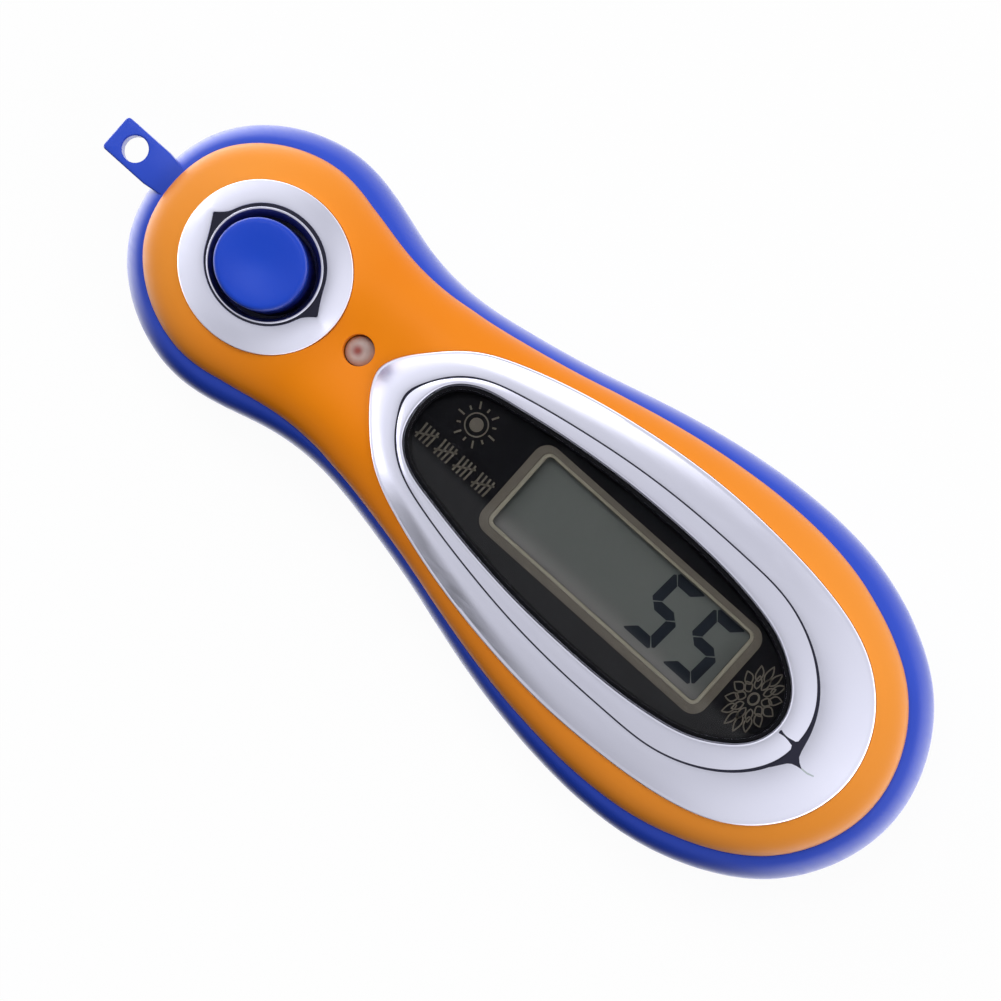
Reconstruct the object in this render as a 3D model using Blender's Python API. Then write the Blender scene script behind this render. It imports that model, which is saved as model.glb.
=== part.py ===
"""Digital tally counter for one hand: a push button in the head, a light at the neck and a display in the bowl.

+X runs from the lanyard tab to the tail, +Z points up out of the display. The origin is at the middle of the
whole length and width, on the surface that the counter rests on. Lengths are in metres.
"""

import math

import bmesh
import bpy
import numpy as np

MM = 0.001
DEGREE = math.pi / 180

# Clearances and overruns
SEAT = 0.1 * MM
BOND = 0.03 * MM
OVERRUN = 3.0 * MM
SMOOTH_ANGLE = 32 * DEGREE
LOOP_POINTS = 72
ROUND_POINTS = 40
SMALL_ROUND_POINTS = 20

# Body: the widest outline, seen from above
BODY_LENGTH = 85.5 * MM
BODY_WIDTH = 33.0 * MM
LUG_REACH = 4.95 * MM
TAIL_X = (BODY_LENGTH + LUG_REACH) / 2
HEAD_X = TAIL_X - BODY_LENGTH
NECK_WIDTH_SHARE = 0.613
BODY_SHARES = (
    (0.0, 0.0), (0.017, 0.362), (0.059, 0.598), (0.100, 0.709), (0.150, 0.759), (0.200, 0.725),
    (0.260, 0.641), (0.330, NECK_WIDTH_SHARE), (0.400, 0.666), (0.472, 0.748), (0.555, 0.864), (0.660, 0.970),
    (0.755, 1.0), (0.820, 0.964), (0.890, 0.840), (0.940, 0.672), (0.979, 0.414), (1.0, 0.0),
)

# Body: heights and the insets of the upper rim and of the flat underside
EQUATOR_Z = 7.0 * MM
SEAM_Z = 10.6 * MM
CROWN_RISE = 3.6 * MM
CROWN_Z = SEAM_Z + CROWN_RISE
HEAD_RIM = 2.0 * MM
NECK_RIM = 1.1 * MM
TAIL_RIM = 2.1 * MM
NECK_FLAT = 2.0145 * MM
CROWN_REACH = NECK_WIDTH_SHARE * BODY_WIDTH / 2 - NECK_RIM - NECK_FLAT
RIM_STATION_SHARES = (0.0, 0.20, 0.34, 0.50, 0.85, 1.0)
RIM_ANGLE = 72 * DEGREE
FOOT_INSET = 3.9 * MM
FOOT_STEP_SHARES = (0.0, 0.22, 0.45, 0.7, 1.0)
RIM_STEP_SHARES = (0.3, 0.55, 0.8, 1.0)

# Shell walls and the lap joint between the two shells
WALL = 1.6 * MM
FLOOR = 1.5 * MM
CROWN_WALL = 2.3 * MM
SHELL_GAP = 0.12 * MM
LAP_LAND = 0.85 * MM
LAP_DEPTH = 1.2 * MM
FLOOR_FILLET = 0.9 * MM
CROWN_STEP_SHARES = (0.0, 0.035, 0.1, 0.2, 0.34, 0.52, 0.74, 1.0, 1.14)
INNER_STEP_SHARES = (0.0, 0.05, 0.16, 0.36, 0.62, 1.0)

# Soft hollow in the neck of the front shell
DISH_DEPTH = 0.9 * MM
DISH_HALF_WIDTH = 7.2 * MM
DISH_RAMP = 5.0 * MM
DISH_RUN = 8.0 * MM

# Lanyard tab
LUG_WIDTH = 3.55 * MM
LUG_ROOT_WIDTH = 2.9 * MM
LUG_THICKNESS = 1.6 * MM
LUG_CORNER = 0.35 * MM
LUG_HOLE_RADIUS = 1.2 * MM
LUG_HOLE_SETBACK = 2.4 * MM
LUG_ROOT_DEPTH = 0.5 * MM
LUG_DROP = 0.05 * MM

# Count button and its ring, both slightly longer than wide
BUTTON_SETBACK = 13.65 * MM
BUTTON_X = HEAD_X + BUTTON_SETBACK
OVAL_SHARE = 1.08
CAP_RADIUS = 3.9 * MM
CAP_TOP_Z = 17.2 * MM
CAP_EDGE = 0.35 * MM
CAP_DISH = 0.25 * MM
CAP_TOP_WALL = 1.2 * MM
CAP_WALL = 0.9 * MM
FLANGE_RADIUS = 5.3 * MM
FLANGE_THICKNESS = 0.75 * MM
FLANGE_DROP = 0.3 * MM
STEM_RADIUS = 1.5 * MM
STEM_DROP = 0.3 * MM
BUTTON_TRAVEL = 1.0 * MM
RING_RADIUS = 7.35 * MM
RING_SINK = 0.9 * MM
RING_EDGE = 0.65 * MM
RING_ROUND = 0.2 * MM
RING_LIP_Z = 14.95 * MM
GROOVE_OUTER = 5.17 * MM
GROOVE_INNER = 4.93 * MM
GROOVE_DEPTH = 0.35 * MM
GROOVE_TIP = 0.95 * MM
GROOVE_TIP_ANGLE = 24 * DEGREE
LIP_WIDTH = 0.18 * MM
FUNNEL_RADIUS = 4.3 * MM
FUNNEL_DEPTH = 0.85 * MM
BUTTON_HOLE_RADIUS = 4.55 * MM

# Light
LED_WINDOW_RADIUS = 1.4 * MM
LED_GAP = 1.462 * MM
LED_SPACING = OVAL_SHARE * RING_RADIUS + LED_GAP + LED_WINDOW_RADIUS
LED_X = BUTTON_X + LED_SPACING
LED_RADIUS = 1.45 * MM
LED_FLANGE_RADIUS = 1.9 * MM
LED_FLANGE = 0.5 * MM
LED_TOP_Z = 12.75 * MM
LED_POCKET_Z = 12.3 * MM
LEAD_SPACING = 2.54 * MM
LEAD_SIZE = 0.45 * MM
LEAD_TAIL = 0.6 * MM
LEAD_HOLE_RADIUS = 0.45 * MM

# Window bezel: its outline follows the body, the crease line follows that and the window follows the crease
BEZEL_SPACING = 2.4 * MM
BEZEL_SETBACK = 5.05 * MM
BEZEL_MARGIN = 4.37 * MM
BEZEL_X = LED_X + BEZEL_SPACING
BEZEL_LENGTH = TAIL_X - BEZEL_SETBACK - BEZEL_X
BEZEL_WIDTH = BODY_WIDTH - 2 * BEZEL_MARGIN
BEZEL_SHARES = (
    (0.0, 0.0), (0.008, 0.115), (0.040, 0.297), (0.105, 0.557), (0.170, 0.692), (0.267, 0.823),
    (0.395, 0.935), (0.555, 1.0), (0.682, 0.984), (0.800, 0.917), (0.890, 0.780), (0.945, 0.593),
    (0.980, 0.370), (1.0, 0.0),
)
HEAD_BAND = 3.55 * MM
TAIL_BAND = 5.1 * MM
SIDE_BAND = 3.27 * MM
CREASE_X = BEZEL_X + HEAD_BAND
CREASE_LENGTH = BEZEL_LENGTH - HEAD_BAND - TAIL_BAND
CREASE_WIDTH = BEZEL_WIDTH - 2 * SIDE_BAND
CREASE_SHARES = (
    (0.0, 0.0), (0.013, 0.20), (0.037, 0.38), (0.080, 0.565), (0.167, 0.726), (0.300, 0.862),
    (0.434, 0.956), (0.586, 1.0), (0.700, 0.998), (0.790, 0.967), (0.870, 0.840), (0.935, 0.630),
    (0.978, 0.375), (1.0, 0.0),
)
INNER_HEAD_BAND = 1.4 * MM
INNER_TAIL_BAND = 2.35 * MM
INNER_SIDE_BAND = 1.74 * MM
WINDOW_X = CREASE_X + INNER_HEAD_BAND
WINDOW_LENGTH = CREASE_LENGTH - INNER_HEAD_BAND - INNER_TAIL_BAND
WINDOW_WIDTH = CREASE_WIDTH - 2 * INNER_SIDE_BAND
WINDOW_SHARES = (
    (0.0, 0.0), (0.023, 0.44), (0.065, 0.63), (0.148, 0.762), (0.232, 0.848), (0.315, 0.915),
    (0.430, 0.978), (0.560, 1.0), (0.680, 0.985), (0.800, 0.907), (0.880, 0.785), (0.934, 0.612),
    (0.975, 0.400), (1.0, 0.0),
)
BEZEL_SINK = 1.55 * MM
BEZEL_EDGE = 0.28 * MM
BEZEL_ROUND = 0.22 * MM
CREASE_Z = 15.35 * MM
CREASE_HALF = 0.1 * MM
CREASE_DEPTH = 0.3 * MM
CREST_RISE = 0.4 * MM
LENS_LIP = 0.15 * MM
WINDOW_Z = 15.6 * MM
LEDGE_WIDTH = 0.8 * MM
LEDGE_THICKNESS = 0.6 * MM
SKIRT_WALL = 0.9 * MM
SKIRT_DEPTH = 0.7 * MM
BAND_STEP_SHARES = (0.33, 0.66)
STAR_REACH = 2.0 * MM
STAR_WIDTH = 0.45 * MM
STAR_WAIST = 0.14 * MM

# Lens, printed mask and display
LENS_THICKNESS = 1.2 * MM
LENS_EDGE = 0.15 * MM
MASK_THICKNESS = 0.15 * MM
PRINT_HEAD = 11.25 * MM
PRINT_TAIL = 6.85 * MM
PRINT_SIDE = 3.37 * MM
VIEW_LENGTH = WINDOW_LENGTH - PRINT_HEAD - PRINT_TAIL
VIEW_WIDTH = WINDOW_WIDTH - 2 * PRINT_SIDE
VIEW_CORNER = 0.7 * MM
VIEW_SHIFT = 0.46 * MM
DISPLAY_X = WINDOW_X + PRINT_HEAD + VIEW_LENGTH / 2
GLASS_MARGIN = 1.95 * MM
GLASS_LENGTH = VIEW_LENGTH + 2 * GLASS_MARGIN
GLASS_WIDTH = VIEW_WIDTH + 2 * GLASS_MARGIN
GLASS_THICKNESS = 0.9 * MM
GLASS_LEDGE = 2.2 * MM
FILM_THICKNESS = 0.15 * MM
FILM_MARGIN = 0.5 * MM
TRAY_WALL = 0.5 * MM
TRAY_HEIGHT = 2.5 * MM
TRAY_LIP = 0.5 * MM
TRAY_RAIL = 1.6 * MM
ZEBRA_MARGIN = 1.7 * MM
ZEBRA_LENGTH = GLASS_LENGTH - 2 * ZEBRA_MARGIN
ZEBRA_WIDTH = 1.5 * MM
ZEBRA_INSET = 0.25 * MM

# Circuit board and counter chip
BOARD_THICKNESS = 1.0 * MM
BOARD_CLEARANCE = 0.5 * MM
CHIP_RADIUS = 3.1 * MM
CHIP_GAP = 3.4 * MM
CHIP_X = DISPLAY_X - GLASS_LENGTH / 2 - SEAT - TRAY_WALL - CHIP_GAP - CHIP_RADIUS
CHIP_HEIGHT = 1.2 * MM

# Silicone dome under the count button
DOME_FOOT_RADIUS = 4.4 * MM
DOME_FOOT = 0.6 * MM
DOME_NECK_RADIUS = 1.9 * MM
DOME_SKIRT_RADIUS = 3.3 * MM
DOME_WEB = 0.45 * MM
PILL_RADIUS = 1.1 * MM
PILL_GAP = 1.05 * MM

# Coin cell, contacts and battery door
CELL_RADIUS = 10.0 * MM
CELL_THICKNESS = 3.2 * MM
CELL_ROUND = 0.3 * MM
CELL_CAP_STEP = 1.1 * MM
CELL_CAP_RADIUS = CELL_RADIUS - CELL_CAP_STEP
CELL_CAP_HEIGHT = 0.25 * MM
DOOR_RIM = 1.05 * MM
DOOR_RECESS = 0.15 * MM
DOOR_THICKNESS = 0.7 * MM
DOOR_SLOT_LENGTH = 12.0 * MM
DOOR_SLOT_WIDTH = 1.6 * MM
DOOR_SLOT_DEPTH = 0.4 * MM
DOOR_GAP = 0.15 * MM
COLLAR_WALL = 0.7 * MM
DOOR_RADIUS = CELL_RADIUS + DOOR_GAP + COLLAR_WALL + DOOR_RIM
COLLAR_HEIGHT = 1.9 * MM
DOOR_LUG_REACH = 0.85 * MM
DOOR_LUG_HEIGHT = 0.8 * MM
DOOR_LUG_ANGLE = 20 * DEGREE
DOOR_NOTCH_ANGLE = 24 * DEGREE
DOOR_TURN = 45 * DEGREE
CONTACT_THICKNESS = 0.2 * MM
CONTACT_WIDTH = 4.0 * MM
CONTACT_FOOT = 4.0 * MM
LEAF_REACH = 9.0 * MM
CLIP_BEND = 0.3 * MM

# Case screws, their columns in the rear shell and their posts in the front shell
POST_RADIUS = 1.6 * MM
POST_GAP = 0.626 * MM
HEAD_SCREW_X = BUTTON_X - OVAL_SHARE * FLANGE_RADIUS - POST_GAP - POST_RADIUS
TAIL_SCREW_SETBACK = 6.8 * MM
TAIL_SCREW_X = TAIL_X - TAIL_SCREW_SETBACK
NECK_SCREW_SPACING = 5.85 * MM
NECK_SCREW_X = LED_X + NECK_SCREW_SPACING
NECK_SCREW_Y = 4.7 * MM
SCREW_HEAD_RADIUS = 1.5 * MM
SCREW_HEAD_HEIGHT = 1.2 * MM
SCREW_SHANK_RADIUS = 0.85 * MM
SCREW_RECESS_RADIUS = 0.95 * MM
SCREW_RECESS_WAIST = 0.3 * MM
SCREW_RECESS_DEPTH = 0.7 * MM
SCREW_POINT = 0.6 * MM
SCREW_SEAT_Z = 2.5 * MM
SCREW_BITE = 2.6 * MM
SCREW_POCKET_GAP = 0.25 * MM
COLUMN_RADIUS = 2.3 * MM
POST_ROOT = 0.15 * MM
PILOT_GAP = 0.1 * MM

# The cell lies as near to the tail column as the clip's foot leaves room for
CLIP_GAP = 0.5 * MM
CLIP_REACH = SEAT + CLIP_BEND + CONTACT_THICKNESS
CELL_X = TAIL_SCREW_X - COLUMN_RADIUS - CLIP_GAP - CONTACT_FOOT - CLIP_REACH - CELL_RADIUS

# Reset button and its switch, between the neck screws
RESET_OFFSET = 1.0 * MM
RESET_X = NECK_SCREW_X + RESET_OFFSET
RESET_RADIUS = 1.4 * MM
RESET_RECESS = 0.5 * MM
RESET_FLANGE_RADIUS = 2.1 * MM
RESET_FLANGE = 0.7 * MM
RESET_STEM_RADIUS = 0.9 * MM
RESET_TRAVEL = 0.3 * MM
RESET_EDGE = 0.2 * MM
SWITCH_SIZE = 3.6 * MM
SWITCH_HEIGHT = 1.6 * MM
PLUNGER_RADIUS = 0.8 * MM
PLUNGER_REACH = 0.7 * MM
PLUNGER_SOCKET = 1.1 * MM

# Heights that follow from the stack under the window
LEDGE_Z = WINDOW_Z - LENS_THICKNESS - MASK_THICKNESS - 2 * SEAT
DISPLAY_TOP_Z = LEDGE_Z - LEDGE_THICKNESS - SEAT
FRONT_GLASS_Z = DISPLAY_TOP_Z - FILM_THICKNESS - BOND - GLASS_THICKNESS
REAR_GLASS_Z = FRONT_GLASS_Z - BOND - GLASS_THICKNESS
REFLECTOR_Z = REAR_GLASS_Z - BOND - FILM_THICKNESS
TRAY_FLOOR_Z = REFLECTOR_Z - BOND
BOARD_TOP_Z = TRAY_FLOOR_Z - TRAY_HEIGHT - BOND
BOARD_Z = BOARD_TOP_Z - BOARD_THICKNESS
BEZEL_FLOOR_Z = CROWN_Z - BEZEL_SINK
RING_FLOOR_Z = CROWN_Z - RING_SINK
INNER_CROWN_Z = CROWN_Z - CROWN_WALL
FLANGE_Z = INNER_CROWN_Z - FLANGE_DROP - FLANGE_THICKNESS
DOME_Z = BOARD_TOP_Z + BOND
DOME_TOP_Z = FLANGE_Z - STEM_DROP - SEAT
CELL_Z = DOOR_RECESS + DOOR_THICKNESS + SEAT
SCREWS = (
    (HEAD_SCREW_X, 0.0), (TAIL_SCREW_X, 0.0), (NECK_SCREW_X, NECK_SCREW_Y), (NECK_SCREW_X, -NECK_SCREW_Y),
)


# Outlines

def spline(points, per_span):
    """Dense points of the smooth closed curve through these points, as a periodic cubic spline."""
    points = np.asarray(points, float)
    count = len(points)
    steps = np.linalg.norm(np.roll(points, -1, axis=0) - points, axis=1)
    matrix = np.zeros((count, count))
    right = np.zeros((count, 2))
    for i in range(count):
        before, after = steps[i - 1], steps[i]
        matrix[i, i - 1] += after
        matrix[i, i] += 2 * (before + after)
        matrix[i, (i + 1) % count] += before
        forward = (points[(i + 1) % count] - points[i]) / after
        backward = (points[i] - points[i - 1]) / before
        right[i] = 3 * (after * backward + before * forward)
    slopes = np.linalg.solve(matrix, right)
    dense = []
    for i in range(count):
        j = (i + 1) % count
        for t in np.arange(per_span) / per_span:
            h00, h10 = 2 * t**3 - 3 * t**2 + 1, t**3 - 2 * t**2 + t
            h01, h11 = -2 * t**3 + 3 * t**2, t**3 - t**2
            dense.append(h00 * points[i] + h10 * steps[i] * slopes[i] + h01 * points[j] + h11 * steps[i] * slopes[j])
    return np.array(dense)


def outline(shares, start_x, length, width, count=LOOP_POINTS):
    """Even points round an outline, from its tail end along +Y to its head end and back along -Y."""
    upper = [(start_x + along * length, across * width / 2) for along, across in reversed(shares)]
    lower = [(x, -y) for x, y in reversed(upper[1:-1])]
    per_span = 24
    dense = spline(upper + lower, per_span)
    half = dense[: (len(upper) - 1) * per_span + 1]
    run = np.concatenate([[0.0], np.cumsum(np.linalg.norm(np.diff(half, axis=0), axis=1))])
    stations = np.linspace(0.0, run[-1], count // 2 + 1)
    side = np.column_stack([np.interp(stations, run, half[:, 0]), np.interp(stations, run, half[:, 1])])
    side[0, 1] = side[-1, 1] = 0.0
    return np.vstack([side, side[-2:0:-1] * (1, -1)])


def inset(loop, amount):
    """The loop moved in along its normals by this amount, or by one amount for each point."""
    tangent = np.roll(loop, -1, axis=0) - np.roll(loop, 1, axis=0)
    tangent /= np.linalg.norm(tangent, axis=1)[:, None]
    outward = np.column_stack([tangent[:, 1], -tangent[:, 0]])
    return loop - outward * np.reshape(np.broadcast_to(amount, len(loop)), (-1, 1))


def blend(first, second, share):
    return first * (1 - share) + second * share


def smooth(value):
    value = np.clip(value, 0.0, 1.0)
    return value * value * (3 - 2 * value)


def circle(radius, count=ROUND_POINTS, centre=(0.0, 0.0), oval=1.0):
    angle = np.arange(count) * 2 * math.pi / count
    return np.column_stack([centre[0] + oval * radius * np.cos(angle), centre[1] + radius * np.sin(angle)])


BODY = outline(BODY_SHARES, HEAD_X, BODY_LENGTH, BODY_WIDTH)
RIM_INSETS = (HEAD_RIM, HEAD_RIM, NECK_RIM, NECK_RIM, TAIL_RIM, TAIL_RIM)
RIM_INSET = np.interp((BODY[:, 0] - HEAD_X) / BODY_LENGTH, RIM_STATION_SHARES, RIM_INSETS)
SEAM = inset(BODY, RIM_INSET)
BEZEL = outline(BEZEL_SHARES, BEZEL_X, BEZEL_LENGTH, BEZEL_WIDTH)
CREASE = outline(CREASE_SHARES, CREASE_X, CREASE_LENGTH, CREASE_WIDTH)
WINDOW = outline(WINDOW_SHARES, WINDOW_X, WINDOW_LENGTH, WINDOW_WIDTH)


def dish(loop):
    """How far the hollow in the neck lowers the crown at these points."""
    start = BUTTON_X + RING_RADIUS * OVAL_SHARE - DISH_RAMP / 2
    end = BEZEL_X + DISH_RUN
    along = smooth((loop[:, 0] - start) / DISH_RAMP) * smooth((end - loop[:, 0]) / DISH_RUN)
    across = 1 - smooth(np.abs(loop[:, 1]) / DISH_HALF_WIDTH)
    return DISH_DEPTH * along * across


def crown(depth):
    """Height of the front shell's dome at this distance in from the seam."""
    share = np.clip(np.asarray(depth) / CROWN_REACH, 0.0, 1.0)
    return SEAM_Z + CROWN_RISE * np.sqrt(1 - (1 - share) ** 2)


def crown_at(loop):
    """Height of the front shell's outside at these points, by their distance to the seam's nearest side."""
    sides = np.roll(SEAM, -1, axis=0) - SEAM
    offsets = loop[:, None, :] - SEAM
    shares = np.clip((offsets * sides).sum(axis=2) / (sides**2).sum(axis=1), 0.0, 1.0)
    depth = np.linalg.norm(offsets - shares[:, :, None] * sides, axis=2).min(axis=1)
    return crown(depth) - dish(loop)


# Objects

def material(name, colour, roughness, metallic=0.0, transmission=0.0):
    made = bpy.data.materials.new(name)
    made.use_nodes = True
    shader = made.node_tree.nodes["Principled BSDF"]
    shader.inputs["Base Color"].default_value = (*colour, 1.0)
    shader.inputs["Roughness"].default_value = roughness
    shader.inputs["Metallic"].default_value = metallic
    shader.inputs["Transmission Weight"].default_value = transmission
    return made


def new_object(name, mesh, finish, origin=(0.0, 0.0, 0.0)):
    """An object of this mesh, whose points are given from its own origin."""
    if finish is not None:
        mesh.materials.append(finish)
    made = bpy.data.objects.new(name, mesh)
    bpy.context.collection.objects.link(made)
    made.location = origin
    if finish is None:
        made.hide_render = True
        made.display_type = "WIRE"
    else:
        made.parent = bpy.data.objects["counter"]
    mesh.shade_smooth()
    mesh.set_sharp_from_angle(angle=SMOOTH_ANGLE)
    return made


def add_rings(bm, rings, capped, shift=(0.0, 0.0)):
    """Joins rings of equal counts in order. The end rings are closed straight across, or joined to each other."""
    made = []
    for loop, height in rings:
        heights = np.broadcast_to(height, len(loop))
        made.append([bm.verts.new((x + shift[0], y + shift[1], z)) for (x, y), z in zip(loop, heights)])
    count = len(made[0])
    pairs = list(zip(made, made[1:]))
    if not capped:
        pairs.append((made[-1], made[0]))
    for low, high in pairs:
        for i in range(count):
            j = (i + 1) % count
            bm.faces.new((low[i], low[j], high[j], high[i]))
    for ring in (made[0], made[-1]) if capped else ():
        half = count // 2
        bm.faces.new((ring[0], ring[1], ring[-1]))
        for i in range(1, half - 1):
            bm.faces.new((ring[i], ring[i + 1], ring[-i - 1], ring[-i]))
        bm.faces.new((ring[half - 1], ring[half], ring[half + 1]))


def finish_mesh(bm, name):
    bmesh.ops.recalc_face_normals(bm, faces=bm.faces)
    mesh = bpy.data.meshes.new(name)
    bm.to_mesh(mesh)
    bm.free()
    return mesh


def loft(name, rings, finish, capped=True, origin=(0.0, 0.0, 0.0)):
    """One solid through these rings, each a loop of points and its height or heights."""
    bm = bmesh.new()
    moved = [(np.asarray(loop) - origin[:2], np.asarray(height) - origin[2]) for loop, height in rings]
    add_rings(bm, moved, capped)
    return new_object(name, finish_mesh(bm, name), finish, origin)


def turned(name, profile, finish, centres, capped=True, count=ROUND_POINTS, oval=1.0):
    """A solid of radius and height pairs round each centre, in one object whose origin is at the first centre."""
    bm = bmesh.new()
    first = centres[0]
    rings = [(circle(radius, count, oval=oval), height) for radius, height in profile]
    for centre in centres:
        add_rings(bm, rings, capped, (centre[0] - first[0], centre[1] - first[1]))
    return new_object(name, finish_mesh(bm, name), finish, (*first, 0.0))


def block(name, low, high, finish):
    """A box between two corners, with its origin at its centre."""
    low, high = np.asarray(low, float), np.asarray(high, float)
    bm = bmesh.new()
    bmesh.ops.create_cube(bm, size=1.0)
    bmesh.ops.scale(bm, vec=tuple(high - low), verts=bm.verts)
    return new_object(name, finish_mesh(bm, name), finish, tuple((low + high) / 2))


def prism(name, points, low, high, finish=None):
    """A straight solid over a plan of points, between two heights."""
    bm = bmesh.new()
    face = bm.faces.new([bm.verts.new((x, y, low)) for x, y in points])
    made = bmesh.ops.extrude_face_region(bm, geom=[face])
    raised = [v for v in made["geom"] if isinstance(v, bmesh.types.BMVert)]
    bmesh.ops.translate(bm, vec=(0.0, 0.0, high - low), verts=raised)
    return new_object(name, finish_mesh(bm, name), finish)


def ribbon(name, path, width, thickness, centre_y, finish):
    """A bent strip of constant thickness, along a path of x and z, as wide as given in y."""
    path = np.asarray(path, float)
    along = np.gradient(path, axis=0)
    along /= np.linalg.norm(along, axis=1)[:, None]
    across = np.column_stack([-along[:, 1], along[:, 0]]) * thickness / 2
    bm = bmesh.new()
    rows = []
    for (x, z), (dx, dz) in zip(path, across):
        corners = ((x + dx, -width, z + dz), (x + dx, width, z + dz), (x - dx, width, z - dz), (x - dx, -width, z - dz))
        rows.append([bm.verts.new((cx, centre_y + cy / 2, cz)) for cx, cy, cz in corners])
    for low, high in zip(rows, rows[1:]):
        for i in range(4):
            bm.faces.new((low[i], low[i - 1], high[i - 1], high[i]))
    bm.faces.new(rows[0])
    bm.faces.new(rows[-1])
    return new_object(name, finish_mesh(bm, name), finish)


def shape(target, other, operation):
    """Joins a helper to the target or cuts it away, as a modifier that stays on the target."""
    made = target.modifiers.new(other.name, "BOOLEAN")
    made.operation = operation
    made.solver = "EXACT"
    made.object = other


def cut(target, *cutters):
    for cutter in cutters:
        shape(target, cutter, "DIFFERENCE")


def join(target, *others):
    for other in others:
        shape(target, other, "UNION")


# Shells

def rear_shell(finish):
    """Blue rear shell with its rim, lanyard tab, screw columns, door opening and reset hole."""
    rings = []
    for share in FOOT_STEP_SHARES:
        angle = share * math.pi / 2
        rings.append((inset(BODY, FOOT_INSET * (1 - math.sin(angle))), EQUATOR_Z * (1 - math.cos(angle))))
    for share in RIM_STEP_SHARES:
        angle = share * RIM_ANGLE
        drawn_in = RIM_INSET * (1 - math.cos(angle)) / (1 - math.cos(RIM_ANGLE))
        rise = (SEAM_Z - EQUATOR_Z) * math.sin(angle) / math.sin(RIM_ANGLE)
        rings.append((inset(BODY, drawn_in), EQUATOR_Z + rise))
    rings += [
        (inset(SEAM, LAP_LAND), SEAM_Z),
        (inset(SEAM, LAP_LAND), SEAM_Z - LAP_DEPTH),
        (inset(SEAM, WALL), SEAM_Z - LAP_DEPTH),
        (inset(SEAM, WALL), FLOOR + 2 * FLOOR_FILLET),
        (inset(SEAM, WALL + FLOOR_FILLET / 4), FLOOR + FLOOR_FILLET),
        (inset(SEAM, WALL + FLOOR_FILLET), FLOOR),
    ]
    shell = loft("rear_shell", rings, finish)

    lug_x = TAIL_X - BODY_LENGTH - LUG_REACH
    root_x = HEAD_X + HEAD_RIM + LUG_ROOT_DEPTH
    upper = [(root_x, LUG_ROOT_WIDTH / 2), (HEAD_X, LUG_WIDTH / 2)]
    for share in (0.0, 0.5, 1.0):
        angle = share * math.pi / 2
        upper.append((lug_x + LUG_CORNER * (1 - math.sin(angle)),
                      LUG_WIDTH / 2 - LUG_CORNER * (1 - math.cos(angle))))
    tab = upper + [(x, -y) for x, y in reversed(upper)]
    lug_z = SEAM_Z - LUG_DROP
    lug = prism("lug_joined", tab, lug_z - LUG_THICKNESS, lug_z)

    column = [(COLUMN_RADIUS, FLOOR / 2), (COLUMN_RADIUS, BOARD_Z - SEAT)]
    columns = turned("columns_joined", column, None, SCREWS, count=SMALL_ROUND_POINTS)
    pocket_radius = SCREW_HEAD_RADIUS + SCREW_POCKET_GAP
    bore_radius = SCREW_SHANK_RADIUS + SCREW_POCKET_GAP
    pocket = [(pocket_radius, -OVERRUN), (pocket_radius, SCREW_SEAT_Z), (bore_radius, SCREW_SEAT_Z),
              (bore_radius, BOARD_Z + OVERRUN)]
    pockets = turned("screw_pockets", pocket, None, SCREWS, count=SMALL_ROUND_POINTS)

    collar_radius = CELL_RADIUS + DOOR_GAP + COLLAR_WALL
    disc_top = DOOR_RECESS + DOOR_THICKNESS + DOOR_GAP / 2
    opening = [(DOOR_RADIUS + DOOR_GAP, -OVERRUN), (DOOR_RADIUS + DOOR_GAP, disc_top),
               (collar_radius + DOOR_GAP, disc_top), (collar_radius + DOOR_GAP, FLOOR + OVERRUN)]
    opening = turned("door_opening", opening, None, [(CELL_X, 0.0)])
    notches = []
    for turn in (-DOOR_TURN, math.pi - DOOR_TURN):
        notches.append(sector("door_notch", collar_radius / 2, collar_radius + DOOR_LUG_REACH + DOOR_GAP,
                              turn, DOOR_NOTCH_ANGLE, disc_top / 2, FLOOR + OVERRUN / 2))
    reset = turned("reset_hole", [(RESET_RADIUS + SEAT, -OVERRUN), (RESET_RADIUS + SEAT, FLOOR + OVERRUN)],
                   None, [(RESET_X, 0.0)], count=SMALL_ROUND_POINTS)
    lanyard = turned("lanyard_hole", [(LUG_HOLE_RADIUS, 0.0), (LUG_HOLE_RADIUS, SEAM_Z + OVERRUN)], None,
                     [(lug_x + LUG_HOLE_SETBACK, 0.0)], count=SMALL_ROUND_POINTS)
    join(shell, lug, columns)
    cut(shell, pockets, opening, *notches, reset, lanyard)
    return shell


def sector(name, inner, outer, turn, width, low, high):
    """A block between two radii round the coin cell's axis, centred on an angle."""
    steps = 6
    angles = turn + width * (np.arange(steps + 1) / steps - 1 / 2)
    arc = np.column_stack([np.cos(angles), np.sin(angles)])
    points = np.vstack([inner * arc, outer * arc[::-1]]) + (CELL_X, 0.0)
    return prism(name, points, low, high)


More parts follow.
